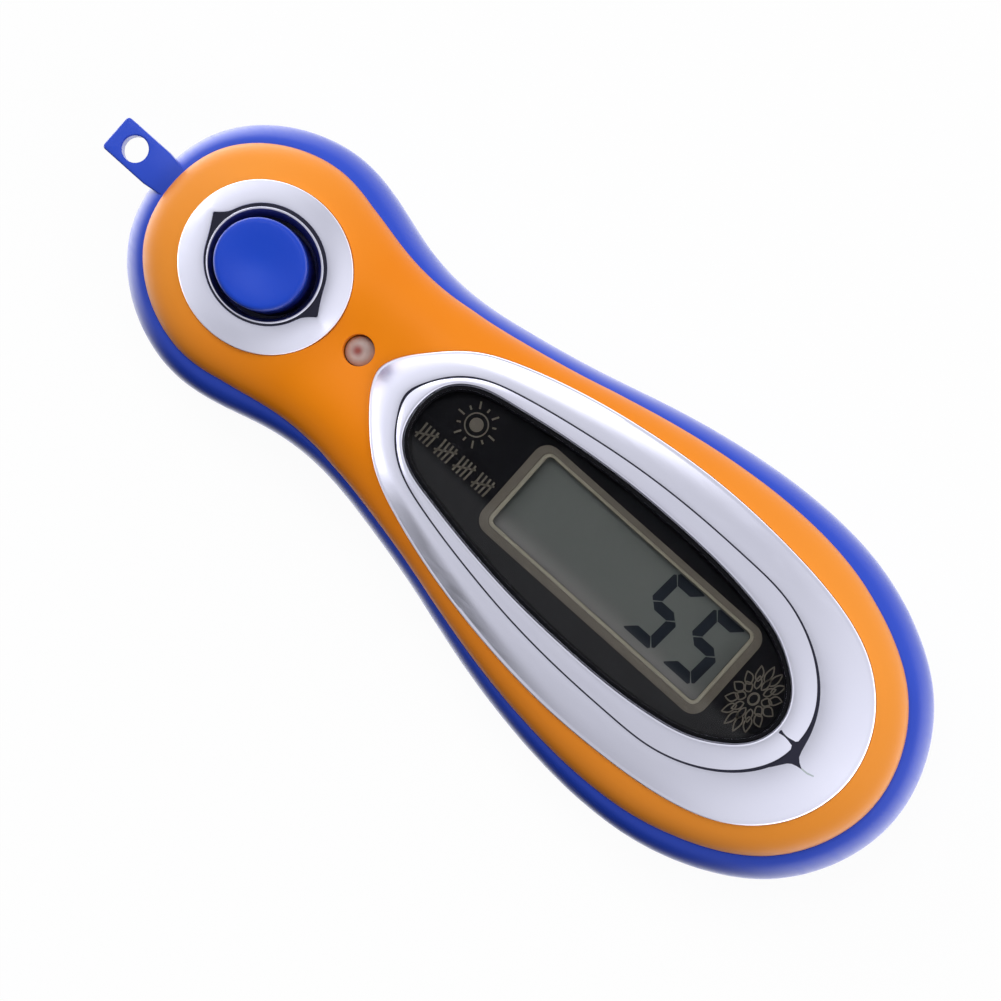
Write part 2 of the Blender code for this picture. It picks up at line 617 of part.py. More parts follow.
def front_shell(finish):
    """Orange front shell: a dome with a hollow neck, pockets for ring and bezel, and posts for the screws."""
    rings = []
    inner_reach = CROWN_REACH - FLOOR_FILLET
    for share in reversed(INNER_STEP_SHARES):
        rise = (INNER_CROWN_Z - SEAM_Z) * math.sqrt(1 - (1 - share) ** 2)
        rings.append((inset(SEAM, WALL + share * inner_reach), SEAM_Z + rise))
    tongue_z = SEAM_Z - LAP_DEPTH + SHELL_GAP
    rings += [
        (inset(SEAM, WALL), tongue_z),
        (inset(SEAM, LAP_LAND + SHELL_GAP), tongue_z),
        (inset(SEAM, LAP_LAND + SHELL_GAP), SEAM_Z + SHELL_GAP),
        (SEAM, SEAM_Z + SHELL_GAP),
    ]
    for share in CROWN_STEP_SHARES[1:]:
        loop = inset(SEAM, share * CROWN_REACH)
        rings.append((loop, crown(share * CROWN_REACH) - dish(loop)))
    shell = loft("front_shell", rings, finish)

    post = [(POST_RADIUS, BOARD_TOP_Z + SEAT), (POST_RADIUS, INNER_CROWN_Z + POST_ROOT)]
    posts = turned("posts_joined", post, None, SCREWS, count=SMALL_ROUND_POINTS)
    pilot_radius = SCREW_SHANK_RADIUS + PILOT_GAP
    pilot = [(pilot_radius, BOARD_TOP_Z - OVERRUN), (pilot_radius, BOARD_TOP_Z + SCREW_BITE + 2 * PILOT_GAP)]
    pilots = turned("pilot_holes", pilot, None, SCREWS, count=SMALL_ROUND_POINTS)
    bezel_pocket = loft("bezel_pocket", [(inset(BEZEL, -SEAT), BEZEL_FLOOR_Z),
                                         (inset(BEZEL, -SEAT), CROWN_Z + OVERRUN)], None)
    bezel_opening = loft("bezel_opening", [(CREASE, BOARD_Z), (CREASE, CROWN_Z + OVERRUN)], None)
    ring_pocket = turned("ring_pocket", [(BUTTON_HOLE_RADIUS, BOARD_Z), (BUTTON_HOLE_RADIUS, RING_FLOOR_Z),
                                         (RING_RADIUS + SEAT, RING_FLOOR_Z), (RING_RADIUS + SEAT, CROWN_Z + OVERRUN)],
                         None, [(BUTTON_X, 0.0)], oval=OVAL_SHARE)
    light_hole = turned("light_hole", [(LED_RADIUS + 2 * SEAT, BOARD_Z), (LED_RADIUS + 2 * SEAT, LED_POCKET_Z),
                                       (LED_WINDOW_RADIUS, LED_POCKET_Z), (LED_WINDOW_RADIUS, CROWN_Z + OVERRUN)],
                        None, [(LED_X, 0.0)], count=SMALL_ROUND_POINTS)
    join(shell, posts)
    cut(shell, pilots, bezel_pocket, bezel_opening, ring_pocket, light_hole)
    return shell


# Head

def groove_loop(radius, reach):
    """A loop of this radius, drawn out into a point at the head and at the tail end."""
    angle = np.arange(ROUND_POINTS) * 2 * math.pi / ROUND_POINTS
    away = np.minimum(np.abs(np.sin(angle / 2)), np.abs(np.cos(angle / 2)))
    share = np.clip(1 - 2 * np.arcsin(away) / GROOVE_TIP_ANGLE, 0.0, 1.0)
    drawn = radius + reach * share**2
    return np.column_stack([BUTTON_X + OVAL_SHARE * drawn * np.cos(angle), drawn * np.sin(angle)])


def button_ring(finish):
    """Bright ring round the count button, with a groove that ends in two points."""
    edge_z = RING_FLOOR_Z + SEAT + RING_EDGE
    band = groove_loop(GROOVE_OUTER + LIP_WIDTH, GROOVE_TIP + LIP_WIDTH)

    def ring(radius):
        return circle(radius, centre=(BUTTON_X, 0.0), oval=OVAL_SHARE)

    rings = [
        (ring(RING_RADIUS), RING_FLOOR_Z + SEAT),
        (ring(RING_RADIUS), edge_z),
        (ring(RING_RADIUS - RING_ROUND), edge_z + RING_ROUND),
        (band, RING_LIP_Z - LIP_WIDTH / 2),
        (groove_loop(GROOVE_OUTER, GROOVE_TIP), RING_LIP_Z - LIP_WIDTH / 2),
        (groove_loop(GROOVE_OUTER, GROOVE_TIP), RING_LIP_Z - GROOVE_DEPTH),
        (ring(GROOVE_INNER), RING_LIP_Z - GROOVE_DEPTH),
        (ring(GROOVE_INNER), RING_LIP_Z),
        (ring(GROOVE_INNER - LIP_WIDTH), RING_LIP_Z),
        (ring(FUNNEL_RADIUS), RING_LIP_Z - FUNNEL_DEPTH),
        (ring(FUNNEL_RADIUS), RING_FLOOR_Z + SEAT),
    ]
    return loft("button_ring", rings, finish, capped=False)


def count_button(finish):
    """Push cap with a finger dish, a flange that keeps it in, and a stem onto the silicone dome."""
    flange_top = FLANGE_Z + FLANGE_THICKNESS
    hollow_top = CAP_TOP_Z - CAP_DISH - CAP_TOP_WALL
    profile = [
        (STEM_RADIUS, FLANGE_Z - STEM_DROP),
        (STEM_RADIUS, hollow_top),
        (CAP_RADIUS - CAP_WALL, hollow_top),
        (CAP_RADIUS - CAP_WALL, FLANGE_Z),
        (FLANGE_RADIUS, FLANGE_Z),
        (FLANGE_RADIUS, flange_top),
        (CAP_RADIUS, flange_top),
        (CAP_RADIUS, CAP_TOP_Z - CAP_EDGE),
        (CAP_RADIUS - CAP_EDGE / 3, CAP_TOP_Z - CAP_EDGE / 3),
        (CAP_RADIUS - CAP_EDGE, CAP_TOP_Z),
        (CAP_RADIUS - 2 * CAP_EDGE, CAP_TOP_Z),
        (CAP_RADIUS / 2, CAP_TOP_Z - CAP_DISH * 0.8),
        (CAP_RADIUS / 6, CAP_TOP_Z - CAP_DISH),
    ]
    return turned("count_button", profile, finish, [(BUTTON_X, 0.0)], oval=OVAL_SHARE)


def button_dome(finish):
    """Silicone dome that carries the contact pill and springs the count button back."""
    profile = [
        (PILL_RADIUS, DOME_Z + PILL_GAP),
        (PILL_RADIUS, DOME_Z + PILL_GAP + DOME_WEB / 2),
        (DOME_NECK_RADIUS - DOME_WEB, DOME_Z + PILL_GAP + DOME_WEB / 2),
        (DOME_SKIRT_RADIUS - DOME_WEB, DOME_Z),
        (DOME_FOOT_RADIUS, DOME_Z),
        (DOME_FOOT_RADIUS, DOME_Z + DOME_FOOT),
        (DOME_SKIRT_RADIUS, DOME_Z + DOME_FOOT),
        (DOME_NECK_RADIUS, DOME_Z + PILL_GAP + DOME_WEB),
        (DOME_NECK_RADIUS, DOME_TOP_Z),
    ]
    return turned("button_dome", profile, finish, [(BUTTON_X, 0.0)], count=SMALL_ROUND_POINTS)


def light(clear, metal):
    """Light with a domed clear body and two leads through the board."""
    base_z = BOARD_TOP_Z + SEAT
    centre_z = LED_TOP_Z - LED_RADIUS
    profile = [
        (LED_FLANGE_RADIUS, base_z), (LED_FLANGE_RADIUS, base_z + LED_FLANGE), (LED_RADIUS, base_z + LED_FLANGE),
    ]
    for share in (0.0, 0.25, 0.5, 0.75, 0.95):
        angle = share * math.pi / 2
        profile.append((LED_RADIUS * math.cos(angle), centre_z + LED_RADIUS * math.sin(angle)))
    turned("led_body", profile, clear, [(LED_X, 0.0)], count=SMALL_ROUND_POINTS)
    half = LEAD_SIZE / 2
    for name, side in (("led_lead_anode", 1), ("led_lead_cathode", -1)):
        y = side * LEAD_SPACING / 2
        block(name, (LED_X - half, y - half, BOARD_Z - LEAD_TAIL), (LED_X + half, y + half, base_z - BOND), metal)


# Window

def star():
    """Four-point star that is cut where the crease crosses the tail end of the bezel."""
    x = CREASE[:, 0].max()
    points = []
    for i in range(8):
        angle = i * math.pi / 4
        reach = STAR_WAIST if i % 2 else (STAR_REACH if i % 4 == 0 else STAR_WIDTH)
        points.append((x + reach * math.cos(angle), reach * math.sin(angle)))
    return prism("crease_star", points, CREASE_Z - CREASE_DEPTH, WINDOW_Z + OVERRUN)


def window_bezel(finish):
    """Bright teardrop frame: outer band, crease, inner band, pocket for the lens, and a skirt in the front shell."""
    seat_z = BEZEL_FLOOR_Z + SEAT
    edge_z = crown_at(BEZEL) + BEZEL_EDGE
    crest_z = CREASE_Z + CREST_RISE
    outer_crease = inset(CREASE, -CREASE_HALF)
    inner_crease = inset(CREASE, CREASE_HALF)
    start = inset(BEZEL, BEZEL_ROUND)
    start_z = edge_z + BEZEL_ROUND
    rings = [(BEZEL, seat_z), (BEZEL, edge_z), (start, start_z)]
    for share in BAND_STEP_SHARES:
        rings.append((blend(start, outer_crease, share), blend(start_z, CREASE_Z, math.sin(share * math.pi / 2))))
    rings += [
        (outer_crease, CREASE_Z),
        (outer_crease, CREASE_Z - CREASE_DEPTH),
        (inner_crease, CREASE_Z - CREASE_DEPTH),
        (inner_crease, CREASE_Z),
        (blend(inner_crease, WINDOW, 0.5), crest_z),
        (inset(WINDOW, -LENS_LIP), crest_z),
        (WINDOW, WINDOW_Z),
        (WINDOW, LEDGE_Z),
        (inset(WINDOW, LEDGE_WIDTH), LEDGE_Z),
        (inset(WINDOW, LEDGE_WIDTH), LEDGE_Z - LEDGE_THICKNESS),
        (inset(CREASE, SEAT + SKIRT_WALL), LEDGE_Z - LEDGE_THICKNESS),
        (inset(CREASE, SEAT + SKIRT_WALL), BEZEL_FLOOR_Z - SKIRT_DEPTH),
        (inset(CREASE, SEAT), BEZEL_FLOOR_Z - SKIRT_DEPTH),
        (inset(CREASE, SEAT), seat_z),
    ]
    bezel = loft("window_bezel", rings, finish, capped=False)
    cut(bezel, star())
    return bezel


def rounded_rectangle(length, width, corner, centre_x):
    steps = 4
    points = []
    for quadrant, (sx, sy) in enumerate(((1, 1), (-1, 1), (-1, -1), (1, -1))):
        for step in range(steps + 1):
            angle = (quadrant + step / steps) * math.pi / 2
            points.append((centre_x + sx * (length / 2 - corner) + corner * math.cos(angle),
                           sy * (width / 2 - corner) + corner * math.sin(angle)))
    return points


def window(clear, print_finish):
    """Clear lens and, under it, the printed mask with the opening for the display."""
    fit = inset(WINDOW, SEAT)
    lens_z = WINDOW_Z - LENS_THICKNESS
    loft("window_lens", [(fit, lens_z), (fit, WINDOW_Z - LENS_EDGE), (inset(WINDOW, SEAT + LENS_EDGE), WINDOW_Z)], clear)
    mask_z = LEDGE_Z + SEAT
    mask = loft("window_mask", [(fit, mask_z), (fit, mask_z + MASK_THICKNESS)], print_finish)
    view = [(x, y + VIEW_SHIFT) for x, y in rounded_rectangle(VIEW_LENGTH, VIEW_WIDTH, VIEW_CORNER, DISPLAY_X)]
    cut(mask, prism("view_opening", view, mask_z - OVERRUN, mask_z + OVERRUN))


def display(glass, film, mirror, rubber, plastic):
    """Display: two glasses between two films, the tray that holds them and the rubber connector strip."""
    x0, x1 = DISPLAY_X - GLASS_LENGTH / 2, DISPLAY_X + GLASS_LENGTH / 2
    y0, y1 = -GLASS_WIDTH / 2, GLASS_WIDTH / 2
    film_y0 = y0 + GLASS_LEDGE + FILM_MARGIN
    film_z = DISPLAY_TOP_Z - FILM_THICKNESS
    block("display_front_film", (x0 + FILM_MARGIN, y0 + FILM_MARGIN, film_z),
          (x1 - FILM_MARGIN, y1 - FILM_MARGIN, DISPLAY_TOP_Z), film)
    block("display_front_glass", (x0, y0, FRONT_GLASS_Z), (x1, y1, FRONT_GLASS_Z + GLASS_THICKNESS), glass)
    block("display_rear_glass", (x0, y0 + GLASS_LEDGE, REAR_GLASS_Z), (x1, y1, REAR_GLASS_Z + GLASS_THICKNESS), glass)
    block("display_reflector", (x0 + FILM_MARGIN, film_y0, REFLECTOR_Z),
          (x1 - FILM_MARGIN, y1 - FILM_MARGIN, REFLECTOR_Z + FILM_THICKNESS), mirror)

    tray_z = BOARD_TOP_Z + BOND
    rim = TRAY_WALL + SEAT
    tray = block("display_tray", (x0 - rim, y0 - rim, tray_z), (x1 + rim, y1 + rim, TRAY_FLOOR_Z + TRAY_LIP), plastic)
    pocket = block("tray_pocket", (x0 - SEAT, y0 - SEAT, TRAY_FLOOR_Z), (x1 + SEAT, y1 + SEAT, WINDOW_Z), None)
    well = block("tray_well", (x0 + TRAY_RAIL, y0 + GLASS_LEDGE + TRAY_RAIL, BOARD_Z),
                 (x1 - TRAY_RAIL, y1 - TRAY_RAIL, WINDOW_Z), None)
    strip_y0 = y0 + ZEBRA_INSET
    half = ZEBRA_LENGTH / 2
    slot = block("strip_slot", (DISPLAY_X - half - SEAT, strip_y0 - SEAT, BOARD_Z),
                 (DISPLAY_X + half + SEAT, strip_y0 + ZEBRA_WIDTH + SEAT, WINDOW_Z), None)
    cut(tray, pocket, well, slot)
    block("connector_strip", (DISPLAY_X - half, strip_y0, BOARD_TOP_Z + BOND),
          (DISPLAY_X + half, strip_y0 + ZEBRA_WIDTH, FRONT_GLASS_Z - BOND), rubber)


# Board and power

def circuit_board(finish, epoxy):
    """Board that follows the inside of the shells, held between the screw columns and posts."""
    edge = inset(SEAM, WALL + BOARD_CLEARANCE)
    board = loft("circuit_board", [(edge, BOARD_Z), (edge, BOARD_TOP_Z)], finish)
    span = [BOARD_Z - OVERRUN, BOARD_TOP_Z + OVERRUN]
    hole_radius = SCREW_SHANK_RADIUS + SCREW_POCKET_GAP
    holes = turned("board_screw_holes", [(hole_radius, z) for z in span], None, SCREWS, count=SMALL_ROUND_POINTS)
    leads = [(LED_X, LEAD_SPACING / 2), (LED_X, -LEAD_SPACING / 2)]
    lead_holes = turned("board_lead_holes", [(LEAD_HOLE_RADIUS, z) for z in span], None, leads, count=SMALL_ROUND_POINTS)
    cut(board, holes, lead_holes)
    base_z = BOARD_TOP_Z + BOND
    profile = [(CHIP_RADIUS, base_z)]
    for share in (0.3, 0.6, 0.9):
        profile.append((CHIP_RADIUS * math.cos(share * math.pi / 2), base_z + CHIP_HEIGHT * math.sin(share * math.pi / 2)))
    turned("counter_chip", profile, epoxy, [(CHIP_X, 0.0)], count=SMALL_ROUND_POINTS)


def power(steel):
    """Coin cell with a leaf on its cap and a clip at its side, both soldered under the board."""
    top_z = CELL_Z + CELL_THICKNESS
    body_z = top_z - CELL_CAP_HEIGHT
    profile = [
        (CELL_RADIUS - CELL_ROUND, CELL_Z), (CELL_RADIUS, CELL_Z + CELL_ROUND), (CELL_RADIUS, body_z - CELL_ROUND),
        (CELL_RADIUS - CELL_ROUND, body_z), (CELL_CAP_RADIUS, body_z), (CELL_CAP_RADIUS - CELL_ROUND, top_z),
    ]
    turned("coin_cell", profile, steel, [(CELL_X, 0.0)])

    solder_z = BOARD_Z - BOND - CONTACT_THICKNESS / 2
    touch_z = top_z + SEAT + CONTACT_THICKNESS / 2
    left_x = CELL_X - CELL_RADIUS + CONTACT_FOOT
    path = [(left_x - CONTACT_FOOT / 2, solder_z), (left_x + CONTACT_FOOT / 2, solder_z)]
    for share in (0.35, 0.7, 1.0):
        path.append((left_x + CONTACT_FOOT / 2 + share * (LEAF_REACH - CONTACT_FOOT),
                     blend(solder_z, touch_z, smooth(share))))
    path.append((left_x + LEAF_REACH, touch_z + CLIP_BEND))
    ribbon("cell_leaf_contact", path, CONTACT_WIDTH, CONTACT_THICKNESS, 0.0, steel)

    clip_x = CELL_X + CELL_RADIUS + CLIP_REACH
    door_top = DOOR_RECESS + DOOR_THICKNESS + COLLAR_HEIGHT
    clip_low = door_top + DOOR_GAP + CONTACT_THICKNESS
    path = [(clip_x - CLIP_BEND, clip_low), (clip_x - CLIP_BEND, clip_low + CLIP_BEND), (clip_x, body_z),
            (clip_x, solder_z), (clip_x + CONTACT_FOOT, solder_z)]
    ribbon("cell_clip_contact", path, CONTACT_WIDTH, CONTACT_THICKNESS, 0.0, steel)


def battery_door(finish):
    """Round door with a coin slot, a collar round the cell and two bayonet lugs. Its origin is on its turning axis."""
    inner = CELL_RADIUS + DOOR_GAP
    outer = inner + COLLAR_WALL
    top_z = DOOR_RECESS + DOOR_THICKNESS
    profile = [
        (inner / 2, top_z), (inner, top_z), (inner, top_z + COLLAR_HEIGHT), (outer, top_z + COLLAR_HEIGHT),
        (outer, top_z), (DOOR_RADIUS, top_z), (DOOR_RADIUS, DOOR_RECESS), (inner / 2, DOOR_RECESS),
    ]
    door = turned("battery_door", profile, finish, [(CELL_X, 0.0)])
    high = top_z + COLLAR_HEIGHT - DOOR_GAP
    for turn in (0.0, math.pi):
        join(door, sector("door_lug", (inner + outer) / 2, outer + DOOR_LUG_REACH, turn, DOOR_LUG_ANGLE,
                          high - DOOR_LUG_HEIGHT, high))
    half_length, half_width = DOOR_SLOT_LENGTH / 2, DOOR_SLOT_WIDTH / 2
    cut(door, block("coin_slot", (CELL_X - half_width, -half_length, -OVERRUN),
                    (CELL_X + half_width, half_length, DOOR_RECESS + DOOR_SLOT_DEPTH), None))
    return door


# Fasteners and reset

def screws(finish):
    """Four self-tapping case screws that share one mesh, heads down."""
    head_z = SCREW_SEAT_Z - SEAT - SCREW_HEAD_HEIGHT
    neck_z = head_z + SCREW_HEAD_HEIGHT
    tip_z = BOARD_TOP_Z + SCREW_BITE
    angle = np.arange(SMALL_ROUND_POINTS) * 2 * math.pi / SMALL_ROUND_POINTS
    arm = np.clip(np.cos(4 * angle), 0.0, 1.0)
    cross = SCREW_RECESS_WAIST + (SCREW_RECESS_RADIUS - SCREW_RECESS_WAIST) * arm
    recess = np.column_stack([cross * np.cos(angle), cross * np.sin(angle)])

    def ring(radius):
        return circle(radius, SMALL_ROUND_POINTS)

    rings = [
        (recess / 2, head_z + SCREW_RECESS_DEPTH),
        (recess, head_z),
        (ring(SCREW_HEAD_RADIUS * 0.8), head_z),
        (ring(SCREW_HEAD_RADIUS), head_z + SCREW_HEAD_HEIGHT / 3),
        (ring(SCREW_HEAD_RADIUS), neck_z),
        (ring(SCREW_SHANK_RADIUS), neck_z),
        (ring(SCREW_SHANK_RADIUS), tip_z - SCREW_POINT),
        (ring(SCREW_SHANK_RADIUS / 3), tip_z),
    ]
    bm = bmesh.new()
    add_rings(bm, rings, True)
    mesh = finish_mesh(bm, "case_screw")
    mesh.materials.append(finish)
    mesh.shade_smooth()
    mesh.set_sharp_from_angle(angle=SMOOTH_ANGLE)
    for name, (x, y) in zip(("head", "tail", "neck_left", "neck_right"), SCREWS):
        screw = bpy.data.objects.new("case_screw_" + name, mesh)
        bpy.context.collection.objects.link(screw)
        screw.location = (x, y, 0.0)
        screw.parent = bpy.data.objects["counter"]


def reset(finish, housing, metal):
    """Recessed reset button in the back, with the switch under the board that it presses."""
    switch_top = BOARD_Z - BOND
    switch_z = switch_top - SWITCH_HEIGHT
    half = SWITCH_SIZE / 2
    switch = block("reset_switch", (RESET_X - half, -half, switch_z), (RESET_X + half, half, switch_top), housing)
    centre = [(RESET_X, 0.0)]
    socket_radius = PLUNGER_RADIUS + SEAT
    cut(switch, turned("plunger_socket", [(socket_radius, switch_z - OVERRUN), (socket_radius, switch_z + PLUNGER_SOCKET)],
                       None, centre, count=SMALL_ROUND_POINTS))
    plunger_z = switch_z - PLUNGER_REACH
    plunger_top = switch_z + PLUNGER_SOCKET - RESET_TRAVEL - SEAT
    turned("reset_plunger", [(PLUNGER_RADIUS, plunger_z), (PLUNGER_RADIUS, plunger_top)], metal, centre,
           count=SMALL_ROUND_POINTS)
    flange_z = FLOOR + SEAT
    profile = [
        (RESET_RADIUS - RESET_EDGE, RESET_RECESS), (RESET_RADIUS, RESET_RECESS + RESET_EDGE), (RESET_RADIUS, flange_z),
        (RESET_FLANGE_RADIUS, flange_z), (RESET_FLANGE_RADIUS, flange_z + RESET_FLANGE),
        (RESET_STEM_RADIUS, flange_z + RESET_FLANGE), (RESET_STEM_RADIUS, plunger_z - BOND),
    ]
    turned("reset_button", profile, finish, centre, count=SMALL_ROUND_POINTS)


def main():
    for old in list(bpy.data.objects):
        bpy.data.objects.remove(old)
    root = bpy.data.objects.new("counter", None)
    bpy.context.collection.objects.link(root)

    orange = material("orange plastic", (0.90, 0.30, 0.02), 0.38)
    blue = material("blue plastic", (0.035, 0.085, 0.60), 0.32)
    bright = material("bright plating", (0.78, 0.77, 0.82), 0.18, metallic=1.0)
    clear = material("clear plastic", (0.95, 0.95, 0.97), 0.05, transmission=1.0)
    black_print = material("black print", (0.01, 0.01, 0.012), 0.25)
    glass = material("display glass", (0.75, 0.80, 0.76), 0.06, transmission=0.8)
    film = material("display film", (0.30, 0.33, 0.30), 0.2)
    mirror = material("reflector film", (0.55, 0.58, 0.52), 0.35, metallic=0.5)
    silicone = material("silicone", (0.75, 0.75, 0.72), 0.6)
    strip = material("connector rubber", (0.10, 0.10, 0.11), 0.7)
    white = material("white plastic", (0.82, 0.82, 0.80), 0.5)
    board = material("board laminate", (0.02, 0.20, 0.07), 0.45)
    epoxy = material("black epoxy", (0.015, 0.015, 0.015), 0.4)
    steel = material("plated steel", (0.62, 0.62, 0.62), 0.28, metallic=1.0)
    dark = material("dark plastic", (0.03, 0.03, 0.03), 0.5)

    rear_shell(blue)
    front_shell(orange)
    button_ring(bright)
    count_button(blue)
    button_dome(silicone)
    light(clear, steel)
    window_bezel(bright)
    window(clear, black_print)
    display(glass, film, mirror, strip, white)
    circuit_board(board, epoxy)
    power(steel)
    battery_door(blue)
    screws(steel)
    reset(blue, dark, steel)


if __name__ == "__main__":
    main()
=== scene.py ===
"""Looks of a digital tally counter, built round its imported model.

The counter lies on its back: +X runs from the lanyard tab to the tail, +Z points up out of the display.
Every visible moulding is built again here with a fine surface and stands for its plainer solid. The parts
inside keep their solids and get a finish each. All lengths are in metres.
"""

from __future__ import annotations

import logging
import math
from collections.abc import Callable, Sequence
from dataclasses import dataclass, field, replace
from enum import Enum
from functools import partial, reduce

import bmesh
import bpy
import numpy as np
from mathutils import Matrix, Vector
from mathutils.bvhtree import BVHTree
from mathutils.geometry import delaunay_2d_cdt

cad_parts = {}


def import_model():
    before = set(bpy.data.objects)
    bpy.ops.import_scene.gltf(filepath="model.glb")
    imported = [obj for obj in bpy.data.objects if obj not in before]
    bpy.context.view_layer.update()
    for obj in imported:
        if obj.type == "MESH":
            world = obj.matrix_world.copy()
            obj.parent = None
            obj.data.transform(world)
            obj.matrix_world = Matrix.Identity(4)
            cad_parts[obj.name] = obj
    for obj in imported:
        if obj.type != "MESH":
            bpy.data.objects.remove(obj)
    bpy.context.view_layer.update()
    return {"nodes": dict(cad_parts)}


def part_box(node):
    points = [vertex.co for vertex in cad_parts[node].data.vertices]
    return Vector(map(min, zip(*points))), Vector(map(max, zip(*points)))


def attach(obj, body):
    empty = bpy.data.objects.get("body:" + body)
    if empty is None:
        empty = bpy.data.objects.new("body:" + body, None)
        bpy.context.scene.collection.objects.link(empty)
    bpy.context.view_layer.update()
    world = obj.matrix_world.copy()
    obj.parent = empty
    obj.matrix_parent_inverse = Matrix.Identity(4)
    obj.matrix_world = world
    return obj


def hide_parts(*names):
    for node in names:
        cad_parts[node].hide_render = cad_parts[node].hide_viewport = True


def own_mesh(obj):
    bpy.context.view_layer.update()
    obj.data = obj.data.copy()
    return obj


LOG = logging.getLogger("counter")
MM = 0.001
SHARP_ANGLE = math.radians(34)
Loop = np.ndarray
Heights = Callable[[np.ndarray], np.ndarray]
Wire = bpy.types.NodeSocket
Feed = Wire | float | tuple[float, ...]
Feeds = dict[str | int, Feed]


class Body(Enum):
    """The rigid bodies that a piece can ride on."""

    HOUSING = "housing"
    COUNT_BUTTON = "count_button"
    BATTERY_DOOR = "battery_door"
    RESET_BUTTON = "reset_button"


class Slot(Enum):
    """The finishes that the record names."""

    ORANGE = "orange_plastic"
    BLUE = "blue_plastic"
    PLATING = "bright_plating"
    CLEAR = "clear_plastic"
    PRINT = "black_print"
    DISPLAY_FILM = "display_film"
    STEEL = "plated_steel"
    SILICONE = "silicone"


class Axis(Enum):
    """The axes, numbered as in a list of x, y and z."""

    X = 0
    Y = 1
    Z = 2


class Sum(Enum):
    """The sums that the shaders do."""

    ADD = "ADD"
    MULTIPLY = "MULTIPLY"
    DIVIDE = "DIVIDE"
    MAXIMUM = "MAXIMUM"
    ABSOLUTE = "ABSOLUTE"


class Mixed(Enum):
    """What a shader can mix."""

    COLOUR = "RGBA"
    NUMBER = "FLOAT"


# Curves and surfaces


def spline(points: np.ndarray, per_span: int) -> np.ndarray:
    """Traces the smooth closed curve through a few points.

    Args:
        points: The points that the curve passes, in order.
        per_span: How many points to give between each two.

    Returns:
        The dense points of the curve.
    """
    count = len(points)
    steps = np.linalg.norm(np.roll(points, -1, axis=0) - points, axis=1)
    matrix = np.zeros((count, count))
    right = np.zeros((count, 2))
    for i in range(count):
        before, after = steps[i - 1], steps[i]
        matrix[i, i - 1] += after
        matrix[i, i] += 2 * (before + after)
        matrix[i, (i + 1) % count] += before
        forward = (points[(i + 1) % count] - points[i]) / after
        backward = (points[i] - points[i - 1]) / before
        right[i] = 3 * (after * backward + before * forward)
    slopes = np.linalg.solve(matrix, right)
    t = (np.arange(per_span) / per_span)[:, None]
    spans = []
    for i in range(count):
        j = (i + 1) % count
        spans.append(
            (2 * t**3 - 3 * t**2 + 1) * points[i]
            + (t**3 - 2 * t**2 + t) * steps[i] * slopes[i]
            + (-2 * t**3 + 3 * t**2) * points[j]
            + (t**3 - t**2) * steps[i] * slopes[j]
        )
    return np.vstack(spans)


@dataclass(frozen=True)
class Outline:
    """A closed plan curve that is symmetrical about the X axis.

    Args:
        shares: Points of its +Y side, as shares of the length and of half the width.
        start_x: Where its head end lies.
        length: Its length along X.
        width: Its full width along Y.
    """

    shares: tuple[tuple[float, float], ...]
    start_x: float
    length: float
    width: float

    def loop(self, count: int = 360) -> Loop:
        """Gives even points round the curve, from its tail end along +Y to its head end and back.

        Args:
            count: How many points to give.

        Returns:
            The points, as an array of x and y.
        """
        upper = [(self.start_x + a * self.length, b * self.width / 2) for a, b in reversed(self.shares)]
        lower = [(x, -y) for x, y in reversed(upper[1:-1])]
        per_span = 60
        dense = spline(np.array(upper + lower), per_span)[: (len(upper) - 1) * per_span + 1]
        run = np.concatenate([[0.0], np.cumsum(np.linalg.norm(np.diff(dense, axis=0), axis=1))])
        stations = np.linspace(0.0, run[-1], count // 2 + 1)
        side = np.column_stack([np.interp(stations, run, dense[:, i]) for i in (0, 1)])
        side[0, 1] = side[-1, 1] = 0.0
        return np.vstack([side, side[-2:0:-1] * (1, -1)])


def inset(loop: Loop, amount: float | np.ndarray) -> Loop:
    """Moves a loop in along its normals.

    Args:
        loop: The points of the loop, anticlockwise.
        amount: How far, for all points or for each.

    Returns:
        The moved loop.
    """
    tangent = np.roll(loop, -1, axis=0) - np.roll(loop, 1, axis=0)
    tangent /= np.linalg.norm(tangent, axis=1)[:, None]
    outward = np.column_stack([tangent[:, 1], -tangent[:, 0]])
    return loop - outward * np.reshape(np.broadcast_to(amount, len(loop)), (-1, 1))


def circle(
    radius: float, centre_x: float = 0.0, centre_y: float = 0.0, count: int = 96, oval: float = 1.0
) -> Loop:
    """Gives a circle, or an oval that is longer along X.

    Args:
        radius: Its radius along Y.
        centre_x: Where its centre lies along X.
        centre_y: Where its centre lies along Y.
        count: How many points to give.
        oval: Its length along X, as a share of its width.

    Returns:
        The points, anticlockwise.
    """
    angle = np.arange(count) * 2 * math.pi / count
    return np.column_stack([centre_x + oval * radius * np.cos(angle), centre_y + radius * np.sin(angle)])


def rounded_rectangle(
    length: float, width: float, corner: float, centre: tuple[float, float], steps: int = 8
) -> Loop:
    """Gives a rectangle with round corners, along X and Y.

    Args:
        length: Its size along X.
        width: Its size along Y.
        corner: The radius of its corners.
        centre: Where its centre lies.
        steps: How many points each corner takes.

    Returns:
        The points, anticlockwise.
    """
    points = []
    for quadrant, (sx, sy) in enumerate(((1, 1), (-1, 1), (-1, -1), (1, -1))):
        for step in range(steps + 1):
            angle = (quadrant + step / steps) * math.pi / 2
            x = centre[0] + sx * (length / 2 - corner) + corner * math.cos(angle)
            points.append((x, centre[1] + sy * (width / 2 - corner) + corner * math.sin(angle)))
    return np.array(points)


def smooth(value: np.ndarray | float) -> np.ndarray:
    """Eases a share from 0 to 1, with no corner at either end."""
    value = np.clip(value, 0.0, 1.0)
    return value * value * (3 - 2 * value)


